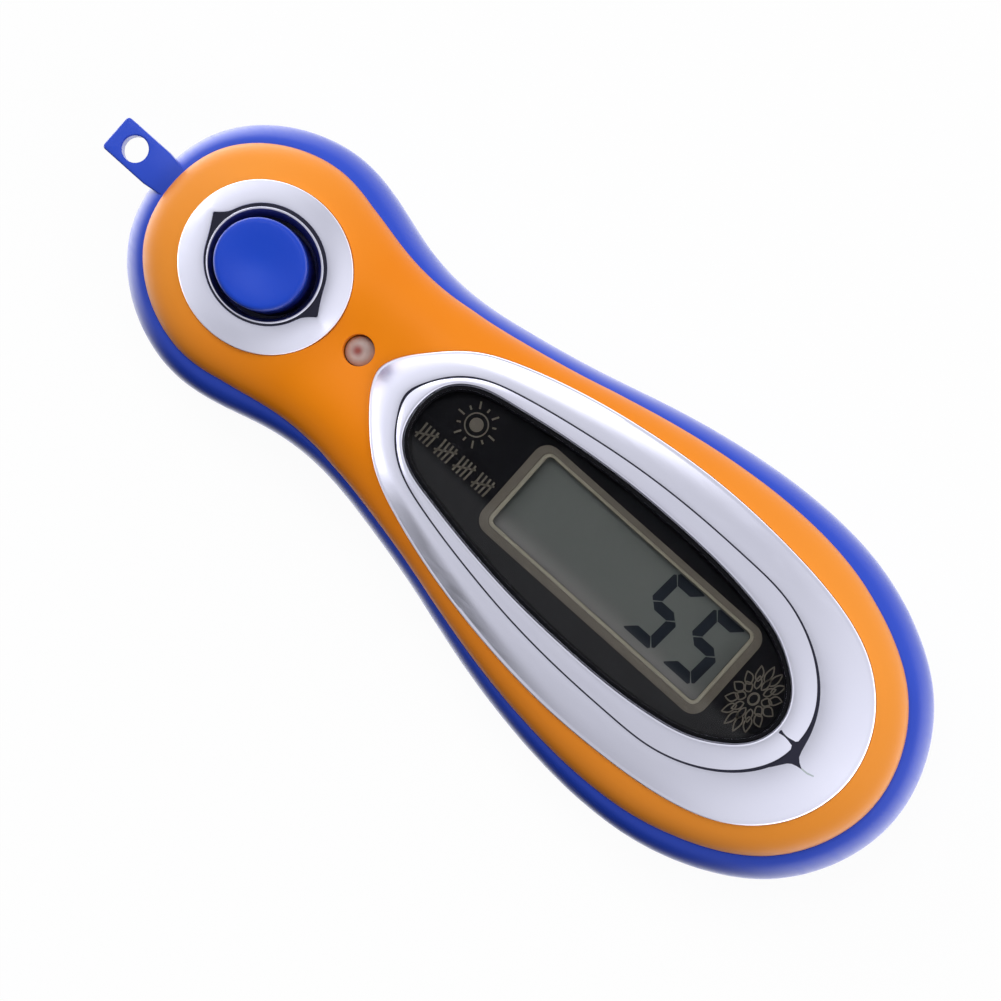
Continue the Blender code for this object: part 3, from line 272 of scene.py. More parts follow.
def blend(first: np.ndarray, second: np.ndarray, share: float) -> np.ndarray:
    """Gives the points that lie this share of the way from the first to the second."""
    return first * (1 - share) + second * share


def turned(angle: float) -> np.ndarray:
    """Gives the matrix that turns x and y by this angle, in radians."""
    return np.array(((math.cos(angle), -math.sin(angle)), (math.sin(angle), math.cos(angle))))


def distance_to(points: np.ndarray, loop: Loop) -> np.ndarray:
    """Measures how far points lie from the sides of a loop.

    Args:
        points: The points to measure.
        loop: The loop's points, in order.

    Returns:
        One distance for each point.
    """
    sides = np.roll(loop, -1, axis=0) - loop
    nearest, batch = np.empty(len(points)), 2000
    for start in range(0, len(points), batch):
        offsets = points[start : start + batch, None, :] - loop
        shares = np.clip((offsets * sides).sum(axis=2) / (sides**2).sum(axis=1), 0.0, 1.0)
        away = np.linalg.norm(offsets - shares[:, :, None] * sides, axis=2)
        nearest[start : start + batch] = away.min(axis=1)
    return nearest


def inside(points: np.ndarray, loop: Loop) -> np.ndarray:
    """Tells which points lie inside a loop.

    Args:
        points: The points to test.
        loop: The loop's points, in order.

    Returns:
        True for each point that lies inside.
    """
    ends = np.roll(loop, -1, axis=0)
    x, y = points[:, 0, None], points[:, 1, None]
    crosses = (loop[:, 1] > y) != (ends[:, 1] > y)
    rise = np.where(ends[:, 1] == loop[:, 1], 1.0, ends[:, 1] - loop[:, 1])
    at = loop[:, 0] + (y - loop[:, 1]) * (ends[:, 0] - loop[:, 0]) / rise
    return (crosses & (x < at)).sum(axis=1) % 2 == 1


def arc(
    centre: tuple[float, float], radius: float, start: float, end: float, steps: int
) -> list[tuple[float, float]]:
    """Gives points along an arc of a profile.

    Args:
        centre: The arc's centre, as an inset or radius and a height.
        radius: The arc's radius.
        start: The angle of its first point, in degrees.
        end: The angle of its last point, in degrees.
        steps: How many steps to take.

    Returns:
        Pairs of an inset or radius and a height.
    """
    angles = np.radians(np.linspace(start, end, steps + 1))
    return [(centre[0] + radius * math.cos(a), centre[1] + radius * math.sin(a)) for a in angles]


class Skin:
    """Collects the points and faces of one piece, then makes its mesh."""

    def __init__(self) -> None:
        """Starts with nothing."""
        self.points: list[tuple[float, float, float]] = []
        self.faces: list[tuple[int, ...]] = []

    def ring(self, loop: Loop, height: float | np.ndarray) -> list[int]:
        """Adds a loop of points.

        Args:
            loop: The loop's x and y.
            height: Its height, for all points or for each.

        Returns:
            The new points' numbers.
        """
        first = len(self.points)
        heights = np.broadcast_to(height, len(loop))
        self.points += [(float(x), float(y), float(z)) for (x, y), z in zip(loop, heights)]
        return list(range(first, len(self.points)))

    def bridge(self, *rings: list[int]) -> None:
        """Joins rings of equal counts in order.

        Args:
            rings: The rings to join.
        """
        for low, high in zip(rings, rings[1:]):
            for i in range(len(low)):
                self.faces.append((low[i - 1], low[i], high[i], high[i - 1]))

    def sweep(
        self, loop: Loop, profile: Sequence[tuple[float, float]], closed: bool = False
    ) -> list[list[int]]:
        """Carries a profile round a loop.

        Args:
            loop: The loop to follow.
            profile: Pairs of an inset from the loop and a height.
            closed: Whether the profile's end meets its start.

        Returns:
            The rings, in the profile's order.
        """
        rings = [self.ring(inset(loop, amount), height) for amount, height in profile]
        self.bridge(*rings, *rings[: 1 if closed else 0])
        return rings

    def band(self, outer: Loop, inner: Loop, low: float, high: float) -> None:
        """Adds a closed band between two loops of equal counts.

        Args:
            outer: Its outer side.
            inner: Its inner side.
            low: The height of its underside.
            high: The height of its top.
        """
        sides = ((outer, low), (outer, high), (inner, high), (inner, low))
        rings = [self.ring(loop, height) for loop, height in sides]
        self.bridge(*rings, rings[0])

    def climb(
        self, start: Loop, end: Loop, low: float | np.ndarray, rise: float | np.ndarray, shares: np.ndarray
    ) -> list[list[int]]:
        """Adds the rings of a band that climbs from one loop to another, ever less steeply.

        Args:
            start: The loop that it starts from.
            end: The loop that it ends at.
            low: The height at its start.
            rise: How far it climbs.
            shares: How far along each ring lies, from 0 to 1.

        Returns:
            The rings, in order.
        """
        heights = [low + rise * math.sin(share * math.pi / 2) for share in shares]
        return [self.ring(blend(start, end, share), height) for share, height in zip(shares, heights)]

    def turn(
        self,
        centre_x: float,
        centre_y: float,
        profile: Sequence[tuple[float, float]],
        oval: float = 1.0,
        count: int = 96,
    ) -> list[list[int]]:
        """Turns a profile round an upright axis.

        Args:
            centre_x: Where the axis lies along X.
            centre_y: Where the axis lies along Y.
            profile: Pairs of a radius and a height. A radius of 0 closes the surface.
            oval: The length along X, as a share of the width.
            count: How many points each ring has.

        Returns:
            The rings, without a closing point.
        """
        rings: list[list[int]] = []
        for radius, height in profile:
            if radius > 0:
                rings.append(self.ring(circle(radius, centre_x, centre_y, count, oval), height))
        self.bridge(*rings)
        for at, ring in ((0, rings[0]), (-1, rings[-1])):
            if profile[at][0] == 0:
                self.points.append((centre_x, centre_y, profile[at][1]))
                hub = len(self.points) - 1
                self.faces += [(ring[i - 1], ring[i], hub) for i in range(len(ring))]
        return rings

    def region(
        self,
        outer: list[int],
        holes: Sequence[list[int]],
        heights: Heights | float,
        spacing: float | None = None,
    ) -> None:
        """Fills the area between an outer ring and holes with even triangles.

        Args:
            outer: The outer ring's points.
            holes: The rings of the holes.
            heights: The surface's height, or a function that gives it.
            spacing: The distance between the points that are added inside, or None for no such points.
        """
        rings = [outer, *holes]
        loops = [np.array([self.points[i][:2] for i in ring]) for ring in rings]
        fixed = [i for ring in rings for i in ring]
        flat = np.vstack(loops)
        edges, start = [], 0
        for ring in rings:
            count = len(ring)
            edges += [(start + i, start + (i + 1) % count) for i in range(count)]
            start += count
        if spacing:
            flat = np.vstack([flat, self.lattice(loops, spacing)])
        coordinates = [Vector((x, y)) for x, y in flat / MM]
        inside_only, tolerance = 1, 1e-6
        result = delaunay_2d_cdt(coordinates, edges, [], inside_only, tolerance, True)
        made, _, faces, sources, _, _ = result
        number = []
        for at, source in zip(made, sources):
            if source and source[0] < len(fixed):
                number.append(fixed[source[0]])
                continue
            place = np.array([[at.x * MM, at.y * MM]])
            height = heights if isinstance(heights, float) else float(heights(place)[0])
            self.points.append((place[0, 0], place[0, 1], height))
            number.append(len(self.points) - 1)
        centres = np.array([np.mean([made[i] for i in face], axis=0) for face in faces]) * MM
        keep = inside(centres, loops[0])
        for hole in loops[1:]:
            keep &= ~inside(centres, hole)
        self.faces += [tuple(number[i] for i in face) for face, kept in zip(faces, keep) if kept]

    @staticmethod
    def lattice(loops: list[Loop], spacing: float) -> np.ndarray:
        """Gives evenly set points inside the first loop and outside the others.

        Args:
            loops: The outer loop, then the holes.
            spacing: The distance between points.

        Returns:
            The points.
        """
        low, high = loops[0].min(axis=0), loops[0].max(axis=0)
        rows = np.arange(low[1], high[1], spacing * math.sqrt(3) / 2)
        grid = []
        for i, y in enumerate(rows):
            xs = np.arange(low[0] + (i % 2) * spacing / 2, high[0], spacing)
            grid.append(np.column_stack([xs, np.full(len(xs), y)]))
        points = np.vstack(grid)
        points = points[inside(points, loops[0])]
        for hole in loops[1:]:
            points = points[~inside(points, hole)]
        clearance = 0.55 * spacing
        for loop in loops:
            points = points[distance_to(points, loop) > clearance]
        return points

    def mesh(self, name: str) -> bpy.types.Mesh:
        """Makes the mesh, with its faces turned alike.

        Args:
            name: The mesh's name.

        Returns:
            The mesh, shaded smooth with its edges kept sharp.
        """
        mesh = bpy.data.meshes.new(name)
        mesh.from_pydata(self.points, [], self.faces)
        work = bmesh.new()
        work.from_mesh(mesh)
        bmesh.ops.recalc_face_normals(work, faces=work.faces)
        work.to_mesh(mesh)
        work.free()
        mesh.validate()
        mesh.shade_smooth()
        mesh.set_sharp_from_angle(angle=SHARP_ANGLE)
        return mesh


def publish(
    name: str,
    skin: Skin,
    finish: bpy.types.Material,
    stands_for: Sequence[str] = (),
    body: Body = Body.HOUSING,
) -> bpy.types.Object:
    """Puts a finished piece into the scene.

    Args:
        name: The piece's name.
        skin: Its surface.
        finish: Its material.
        stands_for: The solids that it is shown in place of.
        body: The body that it rides on.

    Returns:
        The new object.
    """
    mesh = skin.mesh(name)
    mesh.materials.append(finish)
    piece = bpy.data.objects.new(name, mesh)
    bpy.context.scene.collection.objects.link(piece)
    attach(piece, body.value)
    if stands_for:
        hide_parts(*stands_for)
    LOG.info("%s: %d faces, on %s", name, len(mesh.polygons), body.value)
    return piece


# Finishes


class Wiring:
    """Adds nodes to one node tree, each with its constants and with what feeds it."""

    def __init__(self, tree: bpy.types.NodeTree) -> None:
        """Takes the tree that the nodes go into."""
        self.tree = tree

    @classmethod
    def new_material(cls, name: str) -> tuple[bpy.types.Material, Wiring]:
        """Makes a material with nodes.

        Args:
            name: The material's name.

        Returns:
            The material and its wiring.
        """
        material = bpy.data.materials.new(name)
        material.use_nodes = True
        return material, cls(material.node_tree)

    @property
    def shader(self) -> bpy.types.Node:
        """The material's main shader."""
        return self.tree.nodes["Principled BSDF"]

    @property
    def colour(self) -> Feed:
        """What the main shader's colour takes now."""
        socket = self.shader.inputs["Base Color"]
        return socket.links[0].from_socket if socket.is_linked else tuple(socket.default_value)

    def feed(self, node: bpy.types.Node, inputs: Feeds) -> None:
        """Sets a node's inputs.

        Args:
            node: The node.
            inputs: A constant or the output that feeds it, for each input by its name or number.
        """
        for key, value in inputs.items():
            if isinstance(value, Wire):
                self.tree.links.new(value, node.inputs[key])
            else:
                node.inputs[key].default_value = value

    def add(
        self, kind: str, inputs: Feeds | None = None, **settings: str | bpy.types.NodeTree
    ) -> bpy.types.Node:
        """Adds a node.

        Args:
            kind: Its type, without the ShaderNode in front.
            inputs: What its inputs take, as in feed.
            settings: Its own settings, by name.

        Returns:
            The node.
        """
        node = self.tree.nodes.new("ShaderNode" + kind)
        for setting, choice in settings.items():
            setattr(node, setting, choice)
        self.feed(node, inputs or {})
        return node

    def place(self, kind: str = "Object") -> Wire:
        """Gives the place on the piece or, in a world, the direction that is looked in."""
        return self.add("TexCoord").outputs[kind]

    def maths(self, kind: Sum, first: Wire | float, second: Wire | float = 0.0) -> Wire:
        """Adds one sum of two values."""
        return self.add("Math", {0: first, 1: second}, operation=kind.value).outputs[0]

    def total(self, *values: Wire) -> Wire:
        """Adds up several values."""
        return reduce(partial(self.maths, Sum.ADD), values)

    def ease(self, value: Wire, low: float, high: float, at_low: float, at_high: float) -> Wire:
        """Adds an eased change between two values.

        Args:
            value: What drives it.
            low: Where it starts.
            high: Where it ends.
            at_low: The result at the start.
            at_high: The result at the end.

        Returns:
            The result.
        """
        span = {"Value": value, "From Min": low, "From Max": high, "To Min": at_low, "To Max": at_high}
        return self.add("MapRange", span, interpolation_type="SMOOTHSTEP").outputs["Result"]

    def mix(self, share: Wire, first: Feed, second: Feed, kind: Mixed = Mixed.COLOUR) -> Wire:
        """Adds a mix of two colours or two numbers.

        Args:
            share: How much of the second there is.
            first: The first colour or number.
            second: The second.
            kind: What is mixed.

        Returns:
            The result.
        """
        inputs = {"Factor": share, "A": first, "B": second}
        return self.add("Mix", inputs, data_type=kind.value).outputs["Result"]

    def surface(self, share: Wire, first: bpy.types.Node, second: bpy.types.Node) -> None:
        """Gives the material a mix of two shaders.

        Args:
            share: How much of the second shader there is.
            first: The first shader.
            second: The second shader.
        """
        either = self.add("MixShader", {0: share, 1: first.outputs[0], 2: second.outputs[0]})
        self.feed(self.tree.nodes["Material Output"], {"Surface": either.outputs[0]})


class Texture:
    """Shader node groups that several finishes share."""

    @staticmethod
    def start(name: str, inputs: dict[str, float], outputs: Sequence[str]) -> Wiring:
        """Makes an empty group.

        Args:
            name: The group's name.
            inputs: Its number inputs, with their usual values.
            outputs: Its number outputs.

        Returns:
            The wiring of the group, which has its input and output nodes.
        """
        tree = bpy.data.node_groups.new(name, "ShaderNodeTree")
        for label, value in inputs.items():
            made = tree.interface.new_socket(label, in_out="INPUT", socket_type="NodeSocketFloat")
            made.default_value = value
        for label in outputs:
            tree.interface.new_socket(label, in_out="OUTPUT", socket_type="NodeSocketFloat")
        tree.nodes.new("NodeGroupInput").name = "in"
        tree.nodes.new("NodeGroupOutput").name = "out"
        return Wiring(tree)

    @classmethod
    def moulded(cls) -> bpy.types.NodeTree:
        """Gives the fine texture and faint mottling of a moulded surface.

        Returns:
            A group with Grain and Mottle inputs, in metres, and Height and Mottling outputs from 0 to 1.
        """
        name = "moulded texture"
        if name in bpy.data.node_groups:
            return bpy.data.node_groups[name]
        wiring = cls.start(name, {"Grain": 0.3 * MM, "Mottle": 6 * MM}, ("Height", "Mottling"))
        ends, place = wiring.tree.nodes, wiring.place()
        for size, result, detail, rough in (("Grain", "Height", 3.0, 0.6), ("Mottle", "Mottling", 2.0, 0.5)):
            scale = wiring.maths(Sum.DIVIDE, 1.0, ends["in"].outputs[size])
            look = {"Vector": place, "Scale": scale, "Detail": detail, "Roughness": rough}
            wiring.feed(ends["out"], {result: wiring.add("TexNoise", look).outputs["Fac"]})
        return wiring.tree

    @classmethod
    def handled(cls) -> bpy.types.NodeTree:
        """Gives the faint smears and fine scratches of a handled surface.

        Returns:
            A group with Size and Amount inputs and a Mask output from 0 to Amount.
        """
        name = "handled surface"
        if name in bpy.data.node_groups:
            return bpy.data.node_groups[name]
        wiring = cls.start(name, {"Size": 4 * MM, "Amount": 0.5}, ("Mask",))
        ends = wiring.tree.nodes
        drawn_out = {"Vector": wiring.place(), "Rotation": (0.3, 0.2, 0.7), "Scale": (1.0, 7.0, 1.0)}
        way = wiring.add("Mapping", drawn_out).outputs["Vector"]
        scale = wiring.maths(Sum.DIVIDE, 1.0, ends["in"].outputs["Size"])
        smear = wiring.add("TexNoise", {"Vector": way, "Scale": scale, "Detail": 4.0, "Distortion": 0.8})
        span = {"Value": smear.outputs["Fac"], "From Min": 0.45, "From Max": 0.75}
        narrowed = wiring.add("MapRange", span).outputs["Result"]
        mask = wiring.maths(Sum.MULTIPLY, narrowed, ends["in"].outputs["Amount"])
        wiring.feed(ends["out"], {"Mask": mask})
        return wiring.tree


def srgb(red: int, green: int, blue: int) -> tuple[float, float, float, float]:
    """Turns a screen colour into the linear colour that shaders take.

    Args:
        red: From 0 to 255.
        green: From 0 to 255.
        blue: From 0 to 255.

    Returns:
        The linear colour, opaque.
    """
    parts = []
    for part in (red, green, blue):
        share = part / 255
        parts.append(share / 12.92 if share <= 0.04045 else ((share + 0.055) / 1.055) ** 2.4)
    return (parts[0], parts[1], parts[2], 1.0)


@dataclass(frozen=True)
class Finish:
    """How one kind of surface looks.

    Args:
        name: The material's name.
        colour: Its colour on the screen.
        tint: The colour that it drifts to in faint patches, if it does.
        roughness: How matte it is where it is clean.
        worn: How much rougher its smears are.
        metallic: 1 for metal and plating.
        grain: The size of its surface texture.
        relief: How deep that texture looks.
        mottle: The size of its patches.
        coat: The weight of a clear coat.
        coat_roughness: How matte that coat is.
        ior: Its index of refraction.
        through: How much light it lets through.
    """

    name: str
    colour: tuple[int, int, int]
    tint: tuple[int, int, int] | None = None
    roughness: float = 0.4
    worn: float = 0.1
    metallic: float = 0.0
    grain: float = 0.25 * MM
    relief: float = 0.004 * MM
    mottle: float = 6 * MM
    coat: float = 0.0
    coat_roughness: float = 0.12
    ior: float = 1.5
    through: float = 0.0

    def make(self) -> bpy.types.Material:
        """Builds the material.

        Returns:
            A new material with this finish.
        """
        material, wiring = Wiring.new_material(self.name)
        shader, sizes = wiring.shader, {"Grain": self.grain, "Mottle": self.mottle}
        texture = wiring.add("Group", sizes, node_tree=Texture.moulded())
        colour: Feed = srgb(*self.colour)
        if self.tint:
            colour = wiring.mix(texture.outputs["Mottling"], colour, srgb(*self.tint))
        roughness: Feed = self.roughness
        if self.worn:
            smears = wiring.add("Group", {"Amount": self.worn}, node_tree=Texture.handled())
            roughness = wiring.maths(Sum.ADD, self.roughness, smears.outputs["Mask"])
        wiring.feed(shader, {
            "Base Color": colour,
            "Roughness": roughness,
            "Metallic": self.metallic,
            "Coat Weight": self.coat,
            "Coat Roughness": self.coat_roughness,
            "IOR": self.ior,
            "Transmission Weight": self.through,
        })
        if self.relief:
            relief = {"Height": texture.outputs["Height"], "Strength": 1.0, "Distance": self.relief}
            wiring.feed(shader, {"Normal": wiring.add("Bump", relief).outputs["Normal"]})
        return material


ORANGE = Finish("orange plastic", (235, 133, 4), (230, 126, 2), roughness=0.42, worn=0.06, ior=1.42)
BLUE = Finish("blue plastic", (42, 76, 198), (38, 70, 190), roughness=0.30, worn=0.07, ior=1.42)
CAP_BLUE = Finish("button plastic", (20, 69, 193), (13, 58, 183), roughness=0.30, worn=0.08, ior=1.42)
PLATING = Finish("bright plating", (232, 233, 247), (228, 229, 245), roughness=0.30, worn=0.07, metallic=1.0,
                 grain=0.5 * MM, relief=0.001 * MM)
# A dark ribbon laid in the plated grooves: painted shade and dark reflection of each groove
GROOVE_SHADE = Finish("painted groove shade", (40, 40, 54), (30, 30, 44), roughness=0.5, worn=0.05, ior=1.3)
PALE_LINE = replace(GROOVE_SHADE, name="pale line", colour=(186, 196, 198), tint=(176, 186, 190))
PRINT = Finish("black print", (9, 9, 11), (7, 7, 9), roughness=0.6, worn=0.0, relief=0.0, ior=1.12)
BORDER = Finish("black border", (7, 7, 10), (5, 5, 8), roughness=0.3, worn=0.0, relief=0.0, ior=1.2)
BRONZE = Finish("bronze print", (62, 57, 49), (52, 48, 41), roughness=0.5, worn=0.0, mottle=0.5 * MM,
                relief=0.0, ior=1.3)
# A lighter copy of the bronze print, for the frame's raised inner bevel: a painted highlight
BRONZE_HIGHLIGHT = Finish("bronze bevel highlight", (96, 92, 80), (82, 78, 67), roughness=0.45, worn=0.0, mottle=0.5 * MM,
                relief=0.0, ior=1.3)
DISPLAY_FACE = Finish("display face", (59, 61, 58), (54, 57, 54), roughness=0.5, worn=0.0, mottle=5 * MM,
                      relief=0.0, ior=1.3)
DIGIT = Finish("display segment", (6, 11, 18), (5, 9, 15), roughness=0.5, worn=0.0, relief=0.0, ior=1.2)
LIGHT = Finish("light body", (204, 190, 186), (150, 126, 118), roughness=0.12, worn=0.02, coat=0.3,
               mottle=1.2 * MM)
STEEL = Finish("plated steel", (196, 194, 190), (182, 180, 176), roughness=0.26, worn=0.12, metallic=1.0)
GLASS = Finish("display glass", (180, 196, 190), roughness=0.08, worn=0.02, through=0.8)
MIRROR = Finish("reflector film", (172, 176, 164), (160, 166, 152), roughness=0.4, worn=0.05, metallic=0.6)
SILICONE = Finish("silicone", (214, 212, 204), (205, 203, 196), roughness=0.6, worn=0.08)
WHITE = Finish("white plastic", (228, 228, 224), (220, 220, 216), roughness=0.5, worn=0.06)
LAMINATE = Finish("board laminate", (26, 112, 62), (20, 98, 54), roughness=0.42, worn=0.08, coat=0.4,
                  mottle=2 * MM)
EPOXY = Finish("black epoxy", (26, 26, 27), (20, 20, 21), roughness=0.38, worn=0.08, mottle=1.5 * MM)
RUBBER = Finish("connector rubber", (60, 60, 64), (44, 44, 48), roughness=0.7, worn=0.08, grain=0.1 * MM)
DARK = Finish("dark plastic", (34, 34, 35), (28, 28, 29), roughness=0.5, worn=0.08)


@dataclass(frozen=True)
class ClearPlastic:
    """Polished clear plastic that lets lamps shine through it.

    Args:
        name: The material's name.
        ior: Its index of refraction.
    """

    name: str = "clear plastic"
    ior: float = 1.46

    def make(self) -> bpy.types.Material:
        """Builds the material.

        Returns:
            A new material that casts no shadow of its own.
        """
        material, wiring = Wiring.new_material(self.name)
        texture = wiring.add("Group", node_tree=Texture.moulded())
        tinted = wiring.mix(texture.outputs["Mottling"], (0.97, 0.98, 1.0, 1.0), (0.96, 0.97, 0.99, 1.0))
        look = {"Base Color": tinted, "Roughness": 0.0, "IOR": self.ior, "Transmission Weight": 1.0}
        wiring.feed(wiring.shader, look)
        path = wiring.add("LightPath")
        wiring.surface(path.outputs["Is Shadow Ray"], wiring.shader, wiring.add("BsdfTransparent"))
        return material


@dataclass(frozen=True)
class ShadedAlong:
    """A finish whose colour changes steadily across the piece; here it paints light and shade onto the
    pieces.

    Args:
        base: The finish that it changes, plain or already shaded.
        axis: The direction that it changes in.
        start: Where the change starts.
        end: Where it ends.
        to: The colour at the end, on the screen.
    """

    base: Finish | ShadedAlong
    axis: Axis
    start: float
    end: float
    to: tuple[int, int, int]

    def make(self) -> bpy.types.Material:
        """Builds the material.

        Returns:
            A new material with the changing colour.
        """
        material = self.base.make()
        wiring = Wiring(material.node_tree)
        along = wiring.add("SeparateXYZ", {0: wiring.place()}).outputs[self.axis.value]
        share = wiring.add("MapRange", {"Value": along, "From Min": self.start, "From Max": self.end})
        colour = wiring.mix(share.outputs["Result"], wiring.colour, srgb(*self.to))
        wiring.feed(wiring.shader, {"Base Color": colour})
        return material


@dataclass(frozen=True)
class Glow:
    """The tinted lens of the light, with the element showing red inside.

    Args:
        base: The lens's own finish.
        element: Where the element lies.
        red: Its colour on the screen.
        reach: How far the red reaches from the element.
    """

    base: Finish
    element: tuple[float, float, float]
    red: tuple[int, int, int] = (140, 62, 54)
    reach: float = 0.75 * MM

    def make(self) -> bpy.types.Material:
        """Builds the material.

        Returns:
            A new material, red at the element and pale round it.
        """
        material = self.base.make()
        wiring = Wiring(material.node_tree)
        away = wiring.add("VectorMath", {0: wiring.place(), 1: self.element}, operation="SUBTRACT")
        far = wiring.add("VectorMath", {0: away.outputs[0]}, operation="LENGTH").outputs["Value"]
        share = wiring.ease(far, 0.15 * self.reach, self.reach, 0.0, 1.0)
        wiring.feed(wiring.shader, {"Base Color": wiring.mix(share, srgb(*self.red), wiring.colour)})
        return material


# The counter


@dataclass
class Plan:
    """The counter's plan curves and main sizes, which its mouldings share."""

    body_length: float = 85.5 * MM
    body_width: float = 33.0 * MM
    lug_reach: float = 4.95 * MM
    equator_z: float = 7.0 * MM
    seam_z: float = 10.6 * MM
    crown_rise: float = 3.6 * MM
    crown_reach: float = 7.0 * MM
    dish_depth: float = 0.9 * MM
    dish_half_width: float = 7.2 * MM
    dish_under_ring: float = 2.5 * MM
    dish_head_run: float = 5 * MM
    dish_tail_run: float = 8 * MM
    button_setback: float = 13.65 * MM
    ring_radius: float = 7.35 * MM
    oval: float = 1.08
    ring_floor_z: float = 13.3 * MM
    led_spacing: float = 10.8 * MM
    bezel_floor_z: float = 12.65 * MM
    window_z: float = 15.6 * MM
    ledge_z: float = 14.05 * MM
    cell_setback: float = 24.2 * MM
    reset_setback: float = 31.3 * MM
    body: Loop = field(init=False)
    seam: Loop = field(init=False)
    rim: np.ndarray = field(init=False)
    bezel: Loop = field(init=False)
    crease: Loop = field(init=False)
    window: Loop = field(init=False)

    def __post_init__(self) -> None:
        """Traces the curves."""
        self.body = Outline(
            ((0.0, 0.0), (0.017, 0.362), (0.059, 0.598), (0.100, 0.709), (0.150, 0.759), (0.200, 0.725),
             (0.260, 0.641), (0.330, 0.613), (0.400, 0.666), (0.472, 0.748), (0.555, 0.864), (0.660, 0.970),
             (0.755, 1.0), (0.820, 0.964), (0.890, 0.840), (0.940, 0.672), (0.979, 0.414), (1.0, 0.0)),
            start_x=self.head_x, length=self.body_length, width=self.body_width,
        ).loop()
        # The rim is as wide as this, in millimetres, at these shares of the length
        stations, widths = (0.0, 0.20, 0.34, 0.50, 0.85, 1.0), (2.0, 2.0, 1.1, 1.1, 2.1, 2.1)
        along = (self.body[:, 0] - self.head_x) / self.body_length
        self.rim = np.interp(along, stations, np.array(widths) * MM)
        self.seam = inset(self.body, self.rim)
        self.bezel = Outline(
            ((0.0, 0.0), (0.008, 0.115), (0.040, 0.297), (0.105, 0.557), (0.170, 0.692), (0.267, 0.823),
             (0.395, 0.935), (0.555, 1.0), (0.682, 0.984), (0.800, 0.917), (0.890, 0.780), (0.945, 0.593),
             (0.980, 0.370), (1.0, 0.0)),
            start_x=self.tail_x - 58.65 * MM, length=53.6 * MM, width=24.26 * MM,
        ).loop()
        self.crease = Outline(
            ((0.0, 0.0), (0.013, 0.20), (0.037, 0.38), (0.080, 0.565), (0.167, 0.726), (0.300, 0.862),
             (0.434, 0.956), (0.586, 1.0), (0.700, 0.998), (0.790, 0.967), (0.870, 0.840), (0.935, 0.630),
             (0.978, 0.375), (1.0, 0.0)),
            start_x=self.tail_x - 55.1 * MM, length=44.95 * MM, width=17.72 * MM,
        ).loop()
        self.window = Outline(
            ((0.0, 0.0), (0.023, 0.44), (0.065, 0.63), (0.148, 0.762), (0.232, 0.848), (0.315, 0.915),
             (0.430, 0.978), (0.560, 1.0), (0.680, 0.985), (0.800, 0.907), (0.880, 0.785), (0.934, 0.612),
             (0.975, 0.400), (1.0, 0.0)),
            start_x=self.tail_x - 53.7 * MM, length=41.2 * MM, width=14.24 * MM,
        ).loop()

    @property
    def tail_x(self) -> float:
        """Where the tail ends."""
        return (self.body_length + self.lug_reach) / 2

    @property
    def head_x(self) -> float:
        """Where the head ends, without its tab."""
        return self.tail_x - self.body_length

    @property
    def button_x(self) -> float:
        """Where the count button's axis lies."""
        return self.head_x + self.button_setback

    @property
    def led_x(self) -> float:
        """Where the light's axis lies."""
        return self.button_x + self.led_spacing

    @property
    def cell_x(self) -> float:
        """Where the axis of the coin cell and of its door lies."""
        return self.tail_x - self.cell_setback

    @property
    def reset_x(self) -> float:
        """Where the reset button's axis lies."""
        return self.head_x + self.reset_setback

    def ring_oval(self, radius: float, count: int) -> Loop:
        """Gives the oval round the count button's axis that has this radius along Y."""
        return circle(radius, self.button_x, count=count, oval=self.oval)

    def dish(self, points: np.ndarray) -> np.ndarray:
        """Gives the depth of the soft hollow in the neck.

        Args:
            points: The places, as x and y.

        Returns:
            How far the crown is lowered at each.
        """
        start = self.button_x + self.ring_radius * self.oval - self.dish_under_ring
        end = self.bezel[:, 0].min() + self.dish_tail_run
        starting = smooth((points[:, 0] - start) / self.dish_head_run)
        ending = smooth((end - points[:, 0]) / self.dish_tail_run)
        across = 1 - smooth(np.abs(points[:, 1]) / self.dish_half_width)
        return self.dish_depth * (starting * ending) * across

    def crown(self, points: np.ndarray) -> np.ndarray:
        """Gives the height of the front shell's outside.

        Args:
            points: The places, as x and y.

        Returns:
            The height at each.
        """
        share = np.clip(distance_to(points, self.seam) / self.crown_reach, 0.0, 1.0)
        return self.seam_z + self.crown_rise * np.sqrt(1 - (1 - share) ** 2) - self.dish(points)


